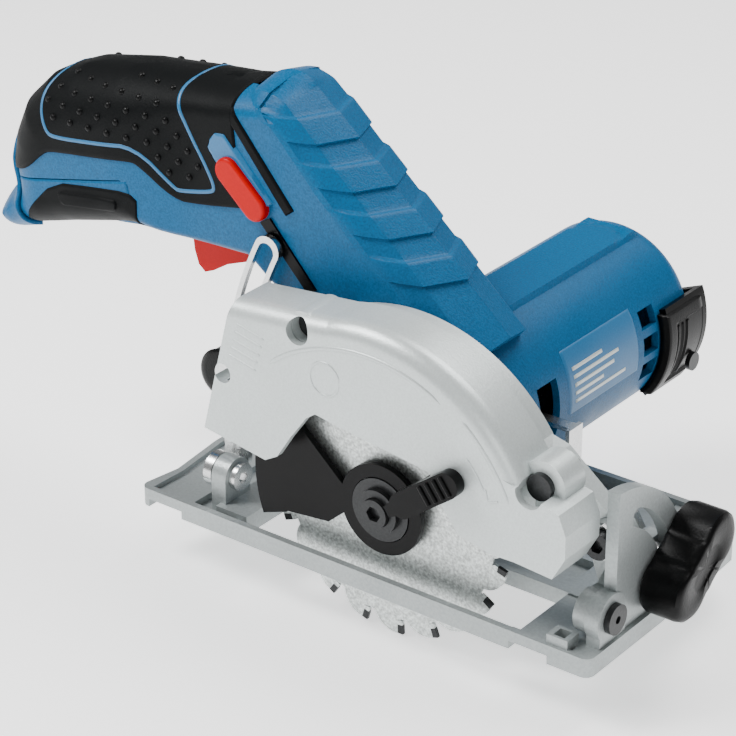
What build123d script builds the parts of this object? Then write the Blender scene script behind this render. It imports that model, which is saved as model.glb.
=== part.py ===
"""Compact cordless circular saw with a track-guidable base, built as separate pieces.

Frame: +X is the cutting direction, +Y points to the motor, +Z is up, millimetres.
The origin lies on the sole, under the spindle, in the parting plane of the handle shells.
Distances called "y" below are measured from the blade plane, towards the motor.
"""
from build123d import *
import math
import os

os.makedirs("parts", exist_ok=True)

# ---- driving dimensions -------------------------------------------------------------
body_mid = 28.5            # blade plane to the parting plane of the handle shells
blade_y = -body_mid        # blade plane in the part's own frame
gap = 0.3                  # clearance between pieces on different bodies
fit = 0.05                 # radial running clearance of a shaft in its bore
seat = 0.1                 # assembly gap between pieces of one body

blade_r = 42.5
blade_plate = 0.8          # thickness of the blade body
blade_kerf = 1.1           # thickness over the tooth tips
blade_teeth = 20
bore_r = 7.5
spindle_z = 25.7           # spindle height at the cutting depth shown at rest

base_front = 76.0
base_rear = -89.0
base_near = -9.5           # outer face of the near rim
base_far = 85.0
base_floor = 2.2
rim_h = 6.1
rim_w = 2.2
slot_half = 50.0           # blade slot, half its length
slot_near = -4.9
slot_far = 19.0
guide_w = 13.0             # width of the two cross channels for the parallel guide
guide_h = 2.6

tilt_y = 3.2               # bevel axis, parallel to X
tilt_z = 13.7
ear_r = 5.8                # eyes of the bevel hinge
pin_r = 2.5
arch_x = 70.5              # rear face of the bevel arch
arch_t = 4.0
arch_r = 38.0
arch_slot_r = 29.0
arch_slot_w = 6.0
bevel_bolt_deg = 15.0      # place of the bevel bolt on its slot at 0 degrees of bevel

pivot_x = 64.5             # depth axis, parallel to Y
pivot_z = 29.6
quad_r = 131.0             # slot radius of the depth quadrant about the depth axis
quad_w = 9.0
quad_t = 2.0
quad_near = 10.0
quad_slot_w = 5.8
clamp_deg = 6.8            # place of the clamp bolt on the quadrant at rest

guard_r = 60.5
guard_near = -12.0
guard_far = 5.0
guard_wall = 2.4

motor_x = 0.0
motor_z = 46.0
motor_r = 27.8
motor_wall = 2.4
motor_end = 122.0
shaft_r = 2.5
pinion_teeth = 12
gear_teeth = 24
gear_w = 4.6
gear_near = 8.0
motor_front = gear_near + gear_w + 0.9   # bearing plate, clear of the gears

nose_half = 15.0           # half width of the body in front of the handle
grip_half = 18.0           # half width of the handle
shell_wall = 2.4
pack_deg = 13.0            # slope of the handle and of the battery in it
screw_r = 2.0


# ---- planes and small helpers -------------------------------------------------------
def across(y):
    """XZ plane at y from the blade; a positive extrude comes towards the near side."""
    return Plane(origin=(0, blade_y + y, 0), x_dir=(1, 0, 0), z_dir=(0, -1, 0))


def facing(x):
    """YZ plane at x; local x is the distance from the blade, local y is the height."""
    return Plane(origin=(x, blade_y, 0), x_dir=(0, 1, 0), z_dir=(1, 0, 0))


def level(z):
    """XY plane at height z; local y is the distance from the blade."""
    return Plane(origin=(0, blade_y, z), x_dir=(1, 0, 0), z_dir=(0, 0, 1))


def rod(x, z, r, y1, y2, mode=Mode.ADD):
    """Round bar along Y from y1 to y2."""
    with BuildSketch(across(y2)) as disc:
        with Locations((x, z)):
            Circle(r)
    extrude(disc.sketch, amount=y2 - y1, mode=mode)


def bar(y, z, r, x1, x2, mode=Mode.ADD):
    """Round bar along X from x1 to x2."""
    with BuildSketch(facing(x1)) as disc:
        with Locations((y, z)):
            Circle(r)
    extrude(disc.sketch, amount=x2 - x1, mode=mode)


def block(x1, x2, y1, y2, z1, z2, mode=Mode.ADD):
    """Square block between the given limits."""
    with BuildSketch(level(z1)) as area:
        with Locations(((x1 + x2) / 2, (y1 + y2) / 2)):
            Rectangle(x2 - x1, y2 - y1)
    extrude(area.sketch, amount=z2 - z1, mode=mode)


def slab(points, y1, y2, mode=Mode.ADD):
    """Plate along Y with a straight-sided outline of (x, z) points."""
    with BuildSketch(across(y2)) as outline:
        with BuildLine():
            Polyline(*points, close=True)
        make_face()
    extrude(outline.sketch, amount=y2 - y1, mode=mode)


def on_quadrant(r, deg):
    """Point (x, z) at radius r about the depth axis, deg above the level line, behind it."""
    a = math.radians(deg)
    return pivot_x - r * math.cos(a), pivot_z + r * math.sin(a)


def on_arch(r, deg):
    """Point (y, z) at radius r about the bevel axis, deg above the level line."""
    a = math.radians(deg)
    return tilt_y + r * math.cos(a), tilt_z + r * math.sin(a)


def on_circle(r, deg):
    """Point (x, z) at radius r about the spindle."""
    a = math.radians(deg)
    return r * math.cos(a), spindle_z + r * math.sin(a)


def band(cx, cy, r1, r2, deg1, deg2, rounded=False):
    """Face between two radii about a centre, from deg1 to deg2, with round ends if asked."""
    def at(r, deg):
        a = math.radians(deg)
        return cx + r * math.cos(a), cy + r * math.sin(a)
    mid = (deg1 + deg2) / 2
    with BuildLine() as edge:
        outer = ThreePointArc(at(r2, deg1), at(r2, mid), at(r2, deg2))
        inner = ThreePointArc(at(r1, deg1), at(r1, mid), at(r1, deg2))
        Line(outer @ 0, inner @ 0)
        Line(outer @ 1, inner @ 1)
    make_face(edge.edges())
    if rounded:
        with Locations(at((r1 + r2) / 2, deg1), at((r1 + r2) / 2, deg2)):
            Circle((r2 - r1) / 2)


def finish(part, name):
    part.label = name
    export_step(part, f"parts/{name}.step")


# ---- base ---------------------------------------------------------------------------
with BuildPart() as base_plate:
    with BuildSketch(level(0)) as footprint:
        with BuildLine():
            Polyline((base_rear, base_near), (base_front, base_near), (base_front, 29),
                     (base_front - 2, 71), (base_front - 7, base_far - 5),
                     (base_front - 18, base_far), (base_rear, base_far),
                     (base_rear, 27), (base_rear + 2.5, 6), close=True)
        make_face()
        fillet(footprint.vertices().sort_by(Axis.Y)[:2], 3)
    extrude(amount=rim_h)
    with BuildSketch(level(base_floor)):
        with BuildLine():
            Polyline((base_rear + rim_w + 2, base_near + rim_w),
                     (base_front - 7, base_near + rim_w), (base_front - 7, 29),
                     (base_front - 9, 71), (base_front - 20, base_far - rim_w),
                     (base_rear + rim_w, base_far - rim_w), (base_rear + rim_w, 27),
                     (base_rear + rim_w + 2.5, 6), close=True)
        make_face()
    extrude(amount=rim_h, mode=Mode.SUBTRACT)
    for x in (base_rear + 4, 49):
        block(x - 1.6, x + guide_w + 1.6, base_near + 0.5, base_far - 0.5, 1, guide_h + 1.9)
    block(-slot_half - 12, -slot_half, slot_near, slot_far + 2, 1, rim_h)
    block(-slot_half - 12, slot_half + 10, slot_far, slot_far + 2, 1, rim_h - 1)
    for x in range(-66, 46, 12):
        block(x, x + 1.4, base_near + 1, slot_near, 1, 4.2)
    for y in (38, 57):
        block(base_rear + 1, base_front - 10, y, y + 1.6, 1, rim_h - 1.2)
    for x in (-40, 4):
        block(x, x + 1.6, slot_far + 1, base_far - 1, 1, rim_h - 1.2)
    # front hinge ear, bevel arch and their foot
    block(62, base_front - 1, -5, 44, 1, rim_h)
    bar(tilt_y, tilt_z, 7.4, arch_x, base_front - 1)
    block(arch_x, base_front - 1, tilt_y - 6, tilt_y + 7, 3, tilt_z)
    with BuildSketch(facing(arch_x)) as arch:
        with Locations((tilt_y, tilt_z)):
            Circle(arch_r)
        with Locations((25.5, 34)):
            Rectangle(40, 62, mode=Mode.INTERSECT)
    extrude(amount=arch_t)
    with BuildSketch(facing(arch_x)):
        band(tilt_y, tilt_z, arch_slot_r - arch_slot_w / 2, arch_slot_r + arch_slot_w / 2,
             11, 65, True)
    extrude(amount=arch_t, mode=Mode.SUBTRACT)
    bar(tilt_y, tilt_z, pin_r + fit, arch_x - 4, base_front + 2, mode=Mode.SUBTRACT)
    # rear hinge ear
    block(-65.5, -60, tilt_y - ear_r, tilt_y + ear_r, 1, tilt_z)
    bar(tilt_y, tilt_z, ear_r, -65.5, -60)
    bar(tilt_y, tilt_z, pin_r + fit, -70, -55, mode=Mode.SUBTRACT)
    # square boss with its square hole, beside the front ear
    block(61, 68, -8.4, -2.6, 1, 9)
    block(62.6, 66.4, -7.4, -3.6, -1, 12, mode=Mode.SUBTRACT)
    # openings through the casting
    block(-slot_half, slot_half, slot_near, slot_far, -1, 20, mode=Mode.SUBTRACT)
    for x in (base_rear + 4, 49):
        block(x, x + guide_w, base_near - 1, base_far + 1, -1, guide_h, mode=Mode.SUBTRACT)
finish(base_plate.part, "base_plate")

with BuildPart() as front_hinge_pin:
    bar(tilt_y, tilt_z, pin_r, 65.8, base_front - 0.9)
    bar(tilt_y, tilt_z, 4.6, base_front - 1 + seat, base_front + 1)
    bar(tilt_y, tilt_z, 1.2, base_front, base_front + 2, mode=Mode.SUBTRACT)
finish(front_hinge_pin.part, "front_hinge_pin")

with BuildPart() as rear_hinge_bolt:
    bar(tilt_y, tilt_z, pin_r, -69.6, -59.9)
    bar(tilt_y, tilt_z, 4.4, -60 + seat, -57.7)
    with BuildSketch(facing(-59.2)):
        with Locations((tilt_y, tilt_z)):
            RegularPolygon(2.0, 6)
    extrude(amount=4, mode=Mode.SUBTRACT)
finish(rear_hinge_bolt.part, "rear_hinge_bolt")

# ---- tilting frame ------------------------------------------------------------------
bevel_bolt_y, bevel_bolt_z = on_arch(arch_slot_r, bevel_bolt_deg)
bracket_x1 = 66.0
bracket_x2 = arch_x - gap
arm_near = 17.8

with BuildPart() as tilt_bracket:
    with BuildSketch(facing(bracket_x1)):
        with Locations((tilt_y, tilt_z)):
            Circle(6.4)
        with BuildLine():
            Polyline((tilt_y, tilt_z - 5), (bevel_bolt_y, 13), (bevel_bolt_y + 5, 16),
                     (bevel_bolt_y + 5, 24.8), (bevel_bolt_y - 6.6, 24.8),
                     (bevel_bolt_y - 8, 20), (17.5, 19), (17.5, 35), (14, 35), (14, 22.6),
                     (9, 19), (tilt_y, tilt_z + 6), close=True)
        make_face()
    extrude(amount=bracket_x2 - bracket_x1)
    with BuildSketch(across(17.5)):
        with Locations((pivot_x, pivot_z)):
            Circle(5.6)
        with BuildLine():
            Polyline((pivot_x - 5, pivot_z - 3), (pivot_x + 1, 10), (bracket_x2, 12),
                     (bracket_x2, pivot_z + 3), (pivot_x, pivot_z + 5.4), close=True)
        make_face()
    extrude(amount=3.5)
    rod(pivot_x, pivot_z, 3 + fit, 10, 20, mode=Mode.SUBTRACT)
    bar(tilt_y, tilt_z, pin_r + fit, 60, 75, mode=Mode.SUBTRACT)
    bar(bevel_bolt_y, bevel_bolt_z, 2.5 + fit, 60, 75, mode=Mode.SUBTRACT)
finish(tilt_bracket.part, "tilt_bracket")

with BuildPart() as depth_pivot_bolt:
    rod(pivot_x, pivot_z, 3, 12.4, 26)
    rod(pivot_x, pivot_z, 4.3, 10, 12.5)
    with BuildSketch(across(12)):
        with Locations((pivot_x, pivot_z)):
            RegularPolygon(2.3, 6)
    extrude(amount=4, mode=Mode.SUBTRACT)
finish(depth_pivot_bolt.part, "depth_pivot_bolt")

with BuildPart() as depth_pivot_washer:
    with BuildSketch(across(13.9)):
        with Locations((pivot_x, pivot_z)):
            RegularPolygon(5.7, 8)
    extrude(amount=1.3)
    rod(pivot_x, pivot_z, 3.2, 10, 20, mode=Mode.SUBTRACT)
finish(depth_pivot_washer.part, "depth_pivot_washer")

with BuildPart() as depth_pivot_nut:
    with BuildSketch(across(28)):
        with Locations((pivot_x, pivot_z)):
            RegularPolygon(5, 6)
    extrude(amount=3.8)
    rod(pivot_x, pivot_z, 3 + fit, 20, 30, mode=Mode.SUBTRACT)
finish(depth_pivot_nut.part, "depth_pivot_nut")

with BuildPart() as bevel_bolt:
    bar(bevel_bolt_y, bevel_bolt_z, 2.5, bracket_x1 - 0.1, 84)
    bar(bevel_bolt_y, bevel_bolt_z, 4.5, bracket_x1 - 2.4, bracket_x1 - seat)
finish(bevel_bolt.part, "bevel_bolt")

with BuildPart() as depth_quadrant:
    with BuildSketch(across(quad_near + quad_t)):
        band(pivot_x, pivot_z, quad_r - quad_w / 2, quad_r + quad_w / 2, 153.5, 186, True)
        with BuildLine():
            Polyline((-70.8, 8), (-65.6, 8), on_quadrant(quad_r - 4.3, -4),
                     on_quadrant(quad_r + 4.3, -4), close=True)
        make_face()
    extrude(amount=quad_t)
    with BuildSketch(across(quad_near + quad_t)):
        band(pivot_x, pivot_z, quad_r - quad_slot_w / 2, quad_r + quad_slot_w / 2, 153.8,
             183.2, True)
    extrude(amount=quad_t, mode=Mode.SUBTRACT)
    with BuildSketch(facing(-69)):
        with Locations((tilt_y, tilt_z)):
            Circle(5.6)
        with Locations(((tilt_y + quad_near + quad_t) / 2, 11.5)):
            Rectangle(quad_near + quad_t - tilt_y, 7)
    extrude(amount=3)
    bar(tilt_y, tilt_z, pin_r + fit, -72, -60, mode=Mode.SUBTRACT)
finish(depth_quadrant.part, "depth_quadrant")


# ---- wing knobs ---------------------------------------------------------------------
def wing_outline(span):
    """Hub with two wings whose ends are span apart, long side along local x."""
    Circle(7)
    with GridLocations(span, 0, 2, 1):
        Circle(5.6)
    Rectangle(span, 8.4)


with BuildPart() as bevel_knob:
    with BuildSketch(Plane(origin=(arch_x + arch_t + gap + 1.4, blade_y + bevel_bolt_y,
                                   bevel_bolt_z), x_dir=(0, 0.8, 0.6), z_dir=(1, 0, 0))):
        wing_outline(26)
    extrude(amount=13, taper=4)
    bar(bevel_bolt_y, bevel_bolt_z, 6, arch_x + arch_t + gap, arch_x + arch_t + gap + 1.5)
    bar(bevel_bolt_y, bevel_bolt_z, 2.5 + fit, 70, 84 + gap, mode=Mode.SUBTRACT)
finish(bevel_knob.part, "bevel_knob")

clamp_x, clamp_z = on_quadrant(quad_r, clamp_deg)
knob_near = quad_near + quad_t + gap
with BuildPart() as depth_knob:
    with BuildSketch(Plane(origin=(clamp_x, blade_y + knob_near + 1.4, clamp_z),
                           x_dir=(-0.848, 0, -0.53), z_dir=(0, 1, 0))):
        wing_outline(27.6)
    extrude(amount=13, taper=4)
    rod(clamp_x, clamp_z, 6, knob_near, knob_near + 1.5)
    rod(clamp_x, clamp_z, 2.5 + fit, 5, knob_near + 9 + gap, mode=Mode.SUBTRACT)
finish(depth_knob.part, "depth_knob")

with BuildPart() as depth_clamp_bolt:
    rod(clamp_x, clamp_z, 2.5, 7.4, knob_near + 9)
    rod(clamp_x, clamp_z, 4.4, 5.6, 7.5)
finish(depth_clamp_bolt.part, "depth_clamp_bolt")

# ---- upper guard and gear housing ---------------------------------------------------

def guard_outline(inset, low):
    """Outer line of the guard from its rear foot over the top to the nose, closed by low."""
    r = guard_r - inset
    with BuildLine() as rim:
        rear = Line((-59.5 + inset, 36.8 - inset), (-48.5 + inset, 81 - inset))
        top = Line(rear @ 1, on_circle(r, 104))
        crown = ThreePointArc(top @ 1, on_circle(r, 65), on_circle(r, 27))
        nose = Polyline(crown @ 1, (66 - inset, 50), (68.5 - inset, 44), (68.5 - inset, 37),
                        (64.5 - inset / 2, 29.5 - inset))
        Polyline(nose @ 1, *low, rear @ 0)
    make_face(rim.edges())


with BuildPart() as upper_guard:
    with BuildSketch(across(guard_far)):
        guard_outline(0, [(52, 30.4), (43.7, 30.2), (33, 32.5), (27, 40), (26.5, 48.5),
                          (-12, 53.4), (-17.6, 54.4), (-21, 52), (-27, 43.7), (-31.9, 36),
                          (-36.4, 33.4)])
    extrude(amount=guard_far - guard_near)
    near_edges = upper_guard.faces().sort_by(Axis.Y)[0].edges()
    fillet(near_edges.filter_by(lambda e: e.center().Z > 60 and e.length > 12), 5.5)
    rod(56, 53, 7.4, -5, guard_far)
    with BuildSketch(across(guard_far + 1)):
        guard_outline(guard_wall, [(40, 20), (-50, 20)])
    extrude(amount=guard_far + 1 - guard_near - guard_wall, mode=Mode.SUBTRACT)
    rod(56, 53, 6, -3, guard_far)
    rod(56, 53, 4.4, guard_near - 2, -5, mode=Mode.SUBTRACT)
    rod(56, 53, screw_r + 0.1, -6, guard_far + 1, mode=Mode.SUBTRACT)
    rod(-24, 78.5, 5.4, -9, guard_far)
    rod(-24, 78.5, screw_r + 0.1, -14, guard_far + 1, mode=Mode.SUBTRACT)
    rod(-24, 78.5, 4, -14, -4, mode=Mode.SUBTRACT)
    rod(-52, 57, 3.1, -14, -5, mode=Mode.SUBTRACT)
    block(-70, -56.5, guard_near + guard_wall, guard_far + 1, 20, 46, mode=Mode.SUBTRACT)
finish(upper_guard.part, "upper_guard")

house_near = guard_far + seat + 0.2
house_far = 13.2
gear_r = (motor_z - spindle_z) * gear_teeth / (gear_teeth + pinion_teeth)
pinion_pitch_r = (motor_z - spindle_z) * pinion_teeth / (gear_teeth + pinion_teeth)
house_boss_r = gear_r + 2.2    # low enough over the sole at the full cutting depth

with BuildPart() as gear_housing:
    with BuildSketch(across(house_far)):
        with Locations((0, spindle_z)):
            Circle(guard_r - guard_wall - 0.8)
        with Locations((0, 0)):
            Rectangle(140, 64, mode=Mode.SUBTRACT)
        with Locations((62, 40)):
            Rectangle(30, 90, mode=Mode.SUBTRACT)
    extrude(amount=house_far - house_near)
    rod(0, spindle_z, house_boss_r, house_near, house_far)
    rod(0, spindle_z, 12.6, 1.6, house_near + 1)
    slab([(-40, 36), (-40, 56), (clamp_x - 3, clamp_z + 5), (clamp_x - 3, clamp_z - 5)],
         house_near + 2.7, quad_near - gap)
    rod(clamp_x, clamp_z, 5.6, house_near + 2.7, quad_near - gap)
    rod(clamp_x, clamp_z, 2.5 + fit, 0, quad_near, mode=Mode.SUBTRACT)
    slab([(38, 30), (38, 52), (46, 50), (pivot_x, pivot_z + 5.6), (pivot_x, pivot_z - 5.4),
          (50, 24.5)], arm_near, arm_near + 6)
    slab([(38, 30), (38, 52), (46, 50), (47, 24.5)], house_far - 1, arm_near + 6)
    rod(pivot_x, pivot_z, 5.6, arm_near, arm_near + 6)
    rod(pivot_x, pivot_z, 3 + fit, arm_near - 1, arm_near + 7, mode=Mode.SUBTRACT)
    rod(0, spindle_z, gear_r + 1.3, gear_near - gap, house_far + 1, mode=Mode.SUBTRACT)
    rod(0, motor_z, pinion_pitch_r + 2.2, gear_near - gap, house_far + 1, mode=Mode.SUBTRACT)
    rod(0, spindle_z, 9.5 + fit, 2.6, gear_near, mode=Mode.SUBTRACT)
    rod(0, spindle_z, 7.2, 0, gear_near, mode=Mode.SUBTRACT)
    rod(56, 53, screw_r, 0, 20, mode=Mode.SUBTRACT)
    rod(-24, 78.5, screw_r, 0, 20, mode=Mode.SUBTRACT)
finish(gear_housing.part, "gear_housing")

with BuildPart() as bearing_plate:
    rod(motor_x, motor_z, motor_r, motor_front, motor_front + 1.6)
    rod(0, spindle_z, house_boss_r, motor_front, motor_front + 1.6)
    rod(motor_x, motor_z, motor_r - motor_wall - seat, motor_front + 1.5, motor_front + 4)
    rod(motor_x, motor_z, 6.5 + fit, motor_front + 0.8, motor_front + 5, mode=Mode.SUBTRACT)
    rod(motor_x, motor_z, 3.4, motor_front - 1, motor_front + 5, mode=Mode.SUBTRACT)
    rod(0, spindle_z, 3 + fit, motor_front - 1, motor_front + 5, mode=Mode.SUBTRACT)
finish(bearing_plate.part, "bearing_plate")

# ---- blade drive --------------------------------------------------------------------
module = 2 * (motor_z - spindle_z) / (gear_teeth + pinion_teeth)


def gear_outline(teeth, phase):
    """Spur gear: root disc with tapered teeth, a little slimmer than half the pitch."""
    pitch = module * teeth / 2
    root = pitch - 1.2 * module
    tip = pitch + 0.85 * module
    half = math.pi * module / 4
    Circle(root)
    with PolarLocations(0, teeth, start_angle=phase):
        Polygon((root - 0.5, -half * 1.05), (pitch, -half * 0.8), (tip, -half * 0.34),
                (tip, half * 0.34), (pitch, half * 0.8), (root - 0.5, half * 1.05),
                align=None)


with BuildPart() as drive_gear:
    with BuildSketch(Plane(origin=(0, blade_y + gear_near + gear_w, spindle_z),
                           x_dir=(1, 0, 0), z_dir=(0, -1, 0))):
        gear_outline(gear_teeth, 90 - 180 / gear_teeth)
    extrude(amount=gear_w)
    rod(0, spindle_z, 5 + 0.02, 0, 20, mode=Mode.SUBTRACT)
finish(drive_gear.part, "drive_gear")

with BuildPart() as pinion:
    with BuildSketch(Plane(origin=(motor_x, blade_y + gear_near + gear_w, motor_z),
                           x_dir=(1, 0, 0), z_dir=(0, -1, 0))):
        gear_outline(pinion_teeth, 270)
    extrude(amount=gear_w)
    rod(motor_x, motor_z, shaft_r + 0.02, 0, 20, mode=Mode.SUBTRACT)
finish(pinion.part, "pinion")

with BuildPart() as spindle:
    rod(0, spindle_z, 5, -2.4, house_far - 0.2)
    rod(0, spindle_z, 3, house_far - 0.3, motor_front + 3.6)
    rod(0, spindle_z, 6.9, 2.1, gear_near - gap)
    rod(0, spindle_z, 2.5, -4, 3.5, mode=Mode.SUBTRACT)
finish(spindle.part, "spindle")

with BuildPart() as spindle_bearing:
    rod(0, spindle_z, 9.5, 2.7, gear_near - gap - 0.2)
    rod(0, spindle_z, 6.9 + fit, 0, 10, mode=Mode.SUBTRACT)
finish(spindle_bearing.part, "spindle_bearing")

with BuildPart() as inner_flange:
    rod(0, spindle_z, 10, 0.45, 1.5)
    rod(0, spindle_z, bore_r - 0.03, -0.35, 1.2)
    rod(0, spindle_z, 5 + 0.02, -3, 5, mode=Mode.SUBTRACT)
finish(inner_flange.part, "inner_flange")

with BuildPart() as outer_flange:
    rod(0, spindle_z, 10, -4.6, -0.45)
    rod(0, spindle_z, 7, -6.4, -4.5)
    rod(0, spindle_z, 5 + 0.02, -2.5, 3, mode=Mode.SUBTRACT)
    rod(0, spindle_z, 2.6, -9, 3, mode=Mode.SUBTRACT)
    rod(0, spindle_z, 4.7, -9, -5, mode=Mode.SUBTRACT)
finish(outer_flange.part, "outer_flange")

with BuildPart() as blade_bolt:
    rod(0, spindle_z, 2.45, -5, 3.4)
    rod(0, spindle_z, 4.5, -7.8, -5.1)
    with BuildSketch(across(-6)):
        with Locations((0, spindle_z)):
            RegularPolygon(2.5, 6)
    extrude(amount=4, mode=Mode.SUBTRACT)
finish(blade_bolt.part, "blade_bolt")

with BuildPart() as saw_blade:
    rod(0, spindle_z, blade_r - 5, -blade_plate / 2, blade_plate / 2)
    with BuildSketch(Plane(origin=(0, blade_y + blade_plate / 2, spindle_z),
                           x_dir=(1, 0, 0), z_dir=(0, -1, 0))):
        with BuildLine():
            front = Line((blade_r - 6, 0.2), (blade_r - 0.2, 0))
            back = ThreePointArc(front @ 1, (blade_r - 2.2, -7), (blade_r - 6, -9.2))
            Line(back @ 1, front @ 0)
        tooth = make_face(mode=Mode.PRIVATE)
        with PolarLocations(0, blade_teeth, start_angle=-90 + 6.87):
            add(tooth)
    extrude(amount=blade_plate)
    with BuildSketch(Plane(origin=(0, blade_y + blade_kerf / 2, spindle_z),
                           x_dir=(1, 0, 0), z_dir=(0, -1, 0))):
        with BuildLine():
            Polyline((blade_r - 4.6, 0.7), (blade_r, 0.5), (blade_r - 0.2, -1.4),
                     (blade_r - 4.6, -1.0), close=True)
        tooth_tip = make_face(mode=Mode.PRIVATE)
        with PolarLocations(0, blade_teeth, start_angle=-90 + 6.87):
            add(tooth_tip)
    extrude(amount=blade_kerf)
    rod(0, spindle_z, bore_r, -5, 5, mode=Mode.SUBTRACT)
finish(saw_blade.part, "saw_blade")

# ---- lower guard --------------------------------------------------------------------
shroud_r = 46.6
shroud_t = 1.8
ring_r = 14.4
wall_near = -4.3           # near wall of the lower guard, outer face
wall_far = 4.2             # far wall, outer face
wall_t = 2.0
open_from = 53             # span of the retracted shroud about the spindle, degrees
open_to = 200


def ring_sector(r1, r2, deg1, deg2):
    """Face between two radii about the spindle."""
    band(0, spindle_z, r1, r2, deg1, deg2)


with BuildPart() as lower_guard:
    with BuildSketch(across(wall_near + wall_t)):
        ring_sector(37, shroud_r, open_from, open_to)
        with BuildLine():
            Polyline(on_circle(shroud_r - 1, open_to), (-35, 13.4), (-19, 15.2), (-12.5, 21),
                     (-11, 27), (-24, 38.5), on_circle(shroud_r - 1, 146), close=True)
        make_face()
    extrude(amount=wall_t)
    with BuildSketch(across(wall_far)):
        ring_sector(shroud_r - shroud_t, shroud_r, open_from, open_to)
    extrude(amount=wall_far - wall_near)
    with BuildSketch(across(wall_far)):
        ring_sector(14, shroud_r, open_from, open_to)
        with Locations((0, spindle_z)):
            Circle(15.4)
    extrude(amount=wall_t)
    rod(0, spindle_z, 12.6 + gap, 1, 6, mode=Mode.SUBTRACT)
    rod(0, spindle_z, ring_r, wall_near, wall_near + wall_t)
    rod(0, spindle_z, 10 + gap, -8, -1, mode=Mode.SUBTRACT)
    with BuildSketch(across(wall_near + 0.5)):
        ring_sector(11, 24, 27, 45)
    extrude(amount=9.6)
    with BuildSketch(across(guard_near - 1)):
        with Locations(on_circle(30, 37)):
            SlotOverall(27, 8, rotation=37)
    extrude(amount=3.6)
finish(lower_guard.part, "lower_guard")

with BuildPart() as guard_spring:
    rod(0, spindle_z, 16.2, 4.5, 5.1)
    rod(0, spindle_z, 15, 4, 6, mode=Mode.SUBTRACT)
finish(guard_spring.part, "guard_spring")

# ---- motor --------------------------------------------------------------------------
can_r = 17.5
can_y1 = 34
can_y2 = 92
with BuildPart() as motor_housing:
    rod(motor_x, motor_z, motor_r, motor_front + 1.6 + seat, motor_end)
    fillet(motor_housing.faces().sort_by(Axis.Y)[-1].edges(), 7)
    rod(motor_x, motor_z, motor_r - motor_wall, motor_front, motor_end - motor_wall - 4,
        mode=Mode.SUBTRACT)
    for y in (can_y1 + 2, can_y2 - 6):
        rod(motor_x, motor_z, motor_r - 1, y, y + 4)
    rod(motor_x, motor_z, 9, 99, motor_end - 4)
    rod(motor_x, motor_z, can_r + seat, motor_front, can_y2 + 1, mode=Mode.SUBTRACT)
    rod(motor_x, motor_z, 6.5 + fit, 99, 104, mode=Mode.SUBTRACT)
    for turn in (-14, 4, 22):
        a = math.radians(turn)
        with BuildSketch(Plane(origin=(motor_x + 20 * math.cos(a), blade_y,
                                       motor_z + 20 * math.sin(a)),
                               x_dir=(0, 1, 0), z_dir=(math.cos(a), 0, math.sin(a)))):
            with Locations((96, 0)):
                Rectangle(8, 6)
        extrude(amount=motor_r - 18, mode=Mode.SUBTRACT)
    block(16, 40, 36, 46, 34, 56, mode=Mode.SUBTRACT)
finish(motor_housing.part, "motor_housing")

with BuildPart() as motor_can:
    rod(motor_x, motor_z, can_r, can_y1, can_y2)
    rod(motor_x, motor_z, can_r - 2, can_y1 + 1.5, can_y2 - 1.5, mode=Mode.SUBTRACT)
    rod(motor_x, motor_z, 5, can_y1 - 1, can_y2 + 1, mode=Mode.SUBTRACT)
finish(motor_can.part, "motor_can")

with BuildPart() as motor_magnets:
    for side in (-90, 90):
        with BuildSketch(Plane(origin=(motor_x, blade_y + can_y2 - 8, motor_z),
                               x_dir=(1, 0, 0), z_dir=(0, -1, 0))):
            Circle(can_r - 2.1)
            Circle(can_r - 4.6, mode=Mode.SUBTRACT)
            with Locations((0, -side / 90 * can_r / 2)):
                Rectangle(2 * can_r, can_r + 8, mode=Mode.SUBTRACT)
        extrude(amount=can_y2 - can_y1 - 16)
finish(motor_magnets.part, "motor_magnets")

with BuildPart() as rotor:
    rod(motor_x, motor_z, shaft_r, gear_near, 103.4)
    rod(motor_x, motor_z, 12, can_y1 + 8, can_y2 - 16)
    rod(motor_x, motor_z, 6.5, can_y2 - 14, can_y2 - 4)
finish(rotor.part, "rotor")

with BuildPart() as fan:
    rod(motor_x, motor_z, 6, 20, 30)
    rod(motor_x, motor_z, 15.5, 20, 21.6)
    for k in range(9):
        with BuildSketch(Plane(origin=(motor_x, blade_y + 30, motor_z), x_dir=(1, 0, 0),
                               z_dir=(0, -1, 0))):
            with PolarLocations(10, 1, start_angle=40 * k):
                Rectangle(10, 1.3)
        extrude(amount=9.5)
    rod(motor_x, motor_z, shaft_r + 0.02, 19, 31, mode=Mode.SUBTRACT)
finish(fan.part, "fan")

with BuildPart() as motor_bearings:
    for y in (motor_front + 1, 99.2):
        rod(motor_x, motor_z, 6.5, y, y + 3)
        rod(motor_x, motor_z, shaft_r + fit, y - 1, y + 4, mode=Mode.SUBTRACT)
finish(motor_bearings.part, "motor_bearings")

with BuildPart() as tail_clip:
    with BuildSketch(across(motor_end + 2.6)):
        band(motor_x, motor_z, motor_r + seat, motor_r + 2.4, -42, 22)
    extrude(amount=22)
    with BuildSketch(across(motor_end + 2.6)):
        band(motor_x, motor_z, 14, motor_r + 2.3, -42, 22)
    extrude(amount=2.6 - seat)
finish(tail_clip.part, "tail_clip")

with BuildPart() as lock_tab:
    block(motor_r - 7, motor_r + 9, 39, 43, 44, 45.4)
    block(motor_r + 7.6, motor_r + 9, 37.5, 44.5, 34, 45.4)
finish(lock_tab.part, "lock_tab")

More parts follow.
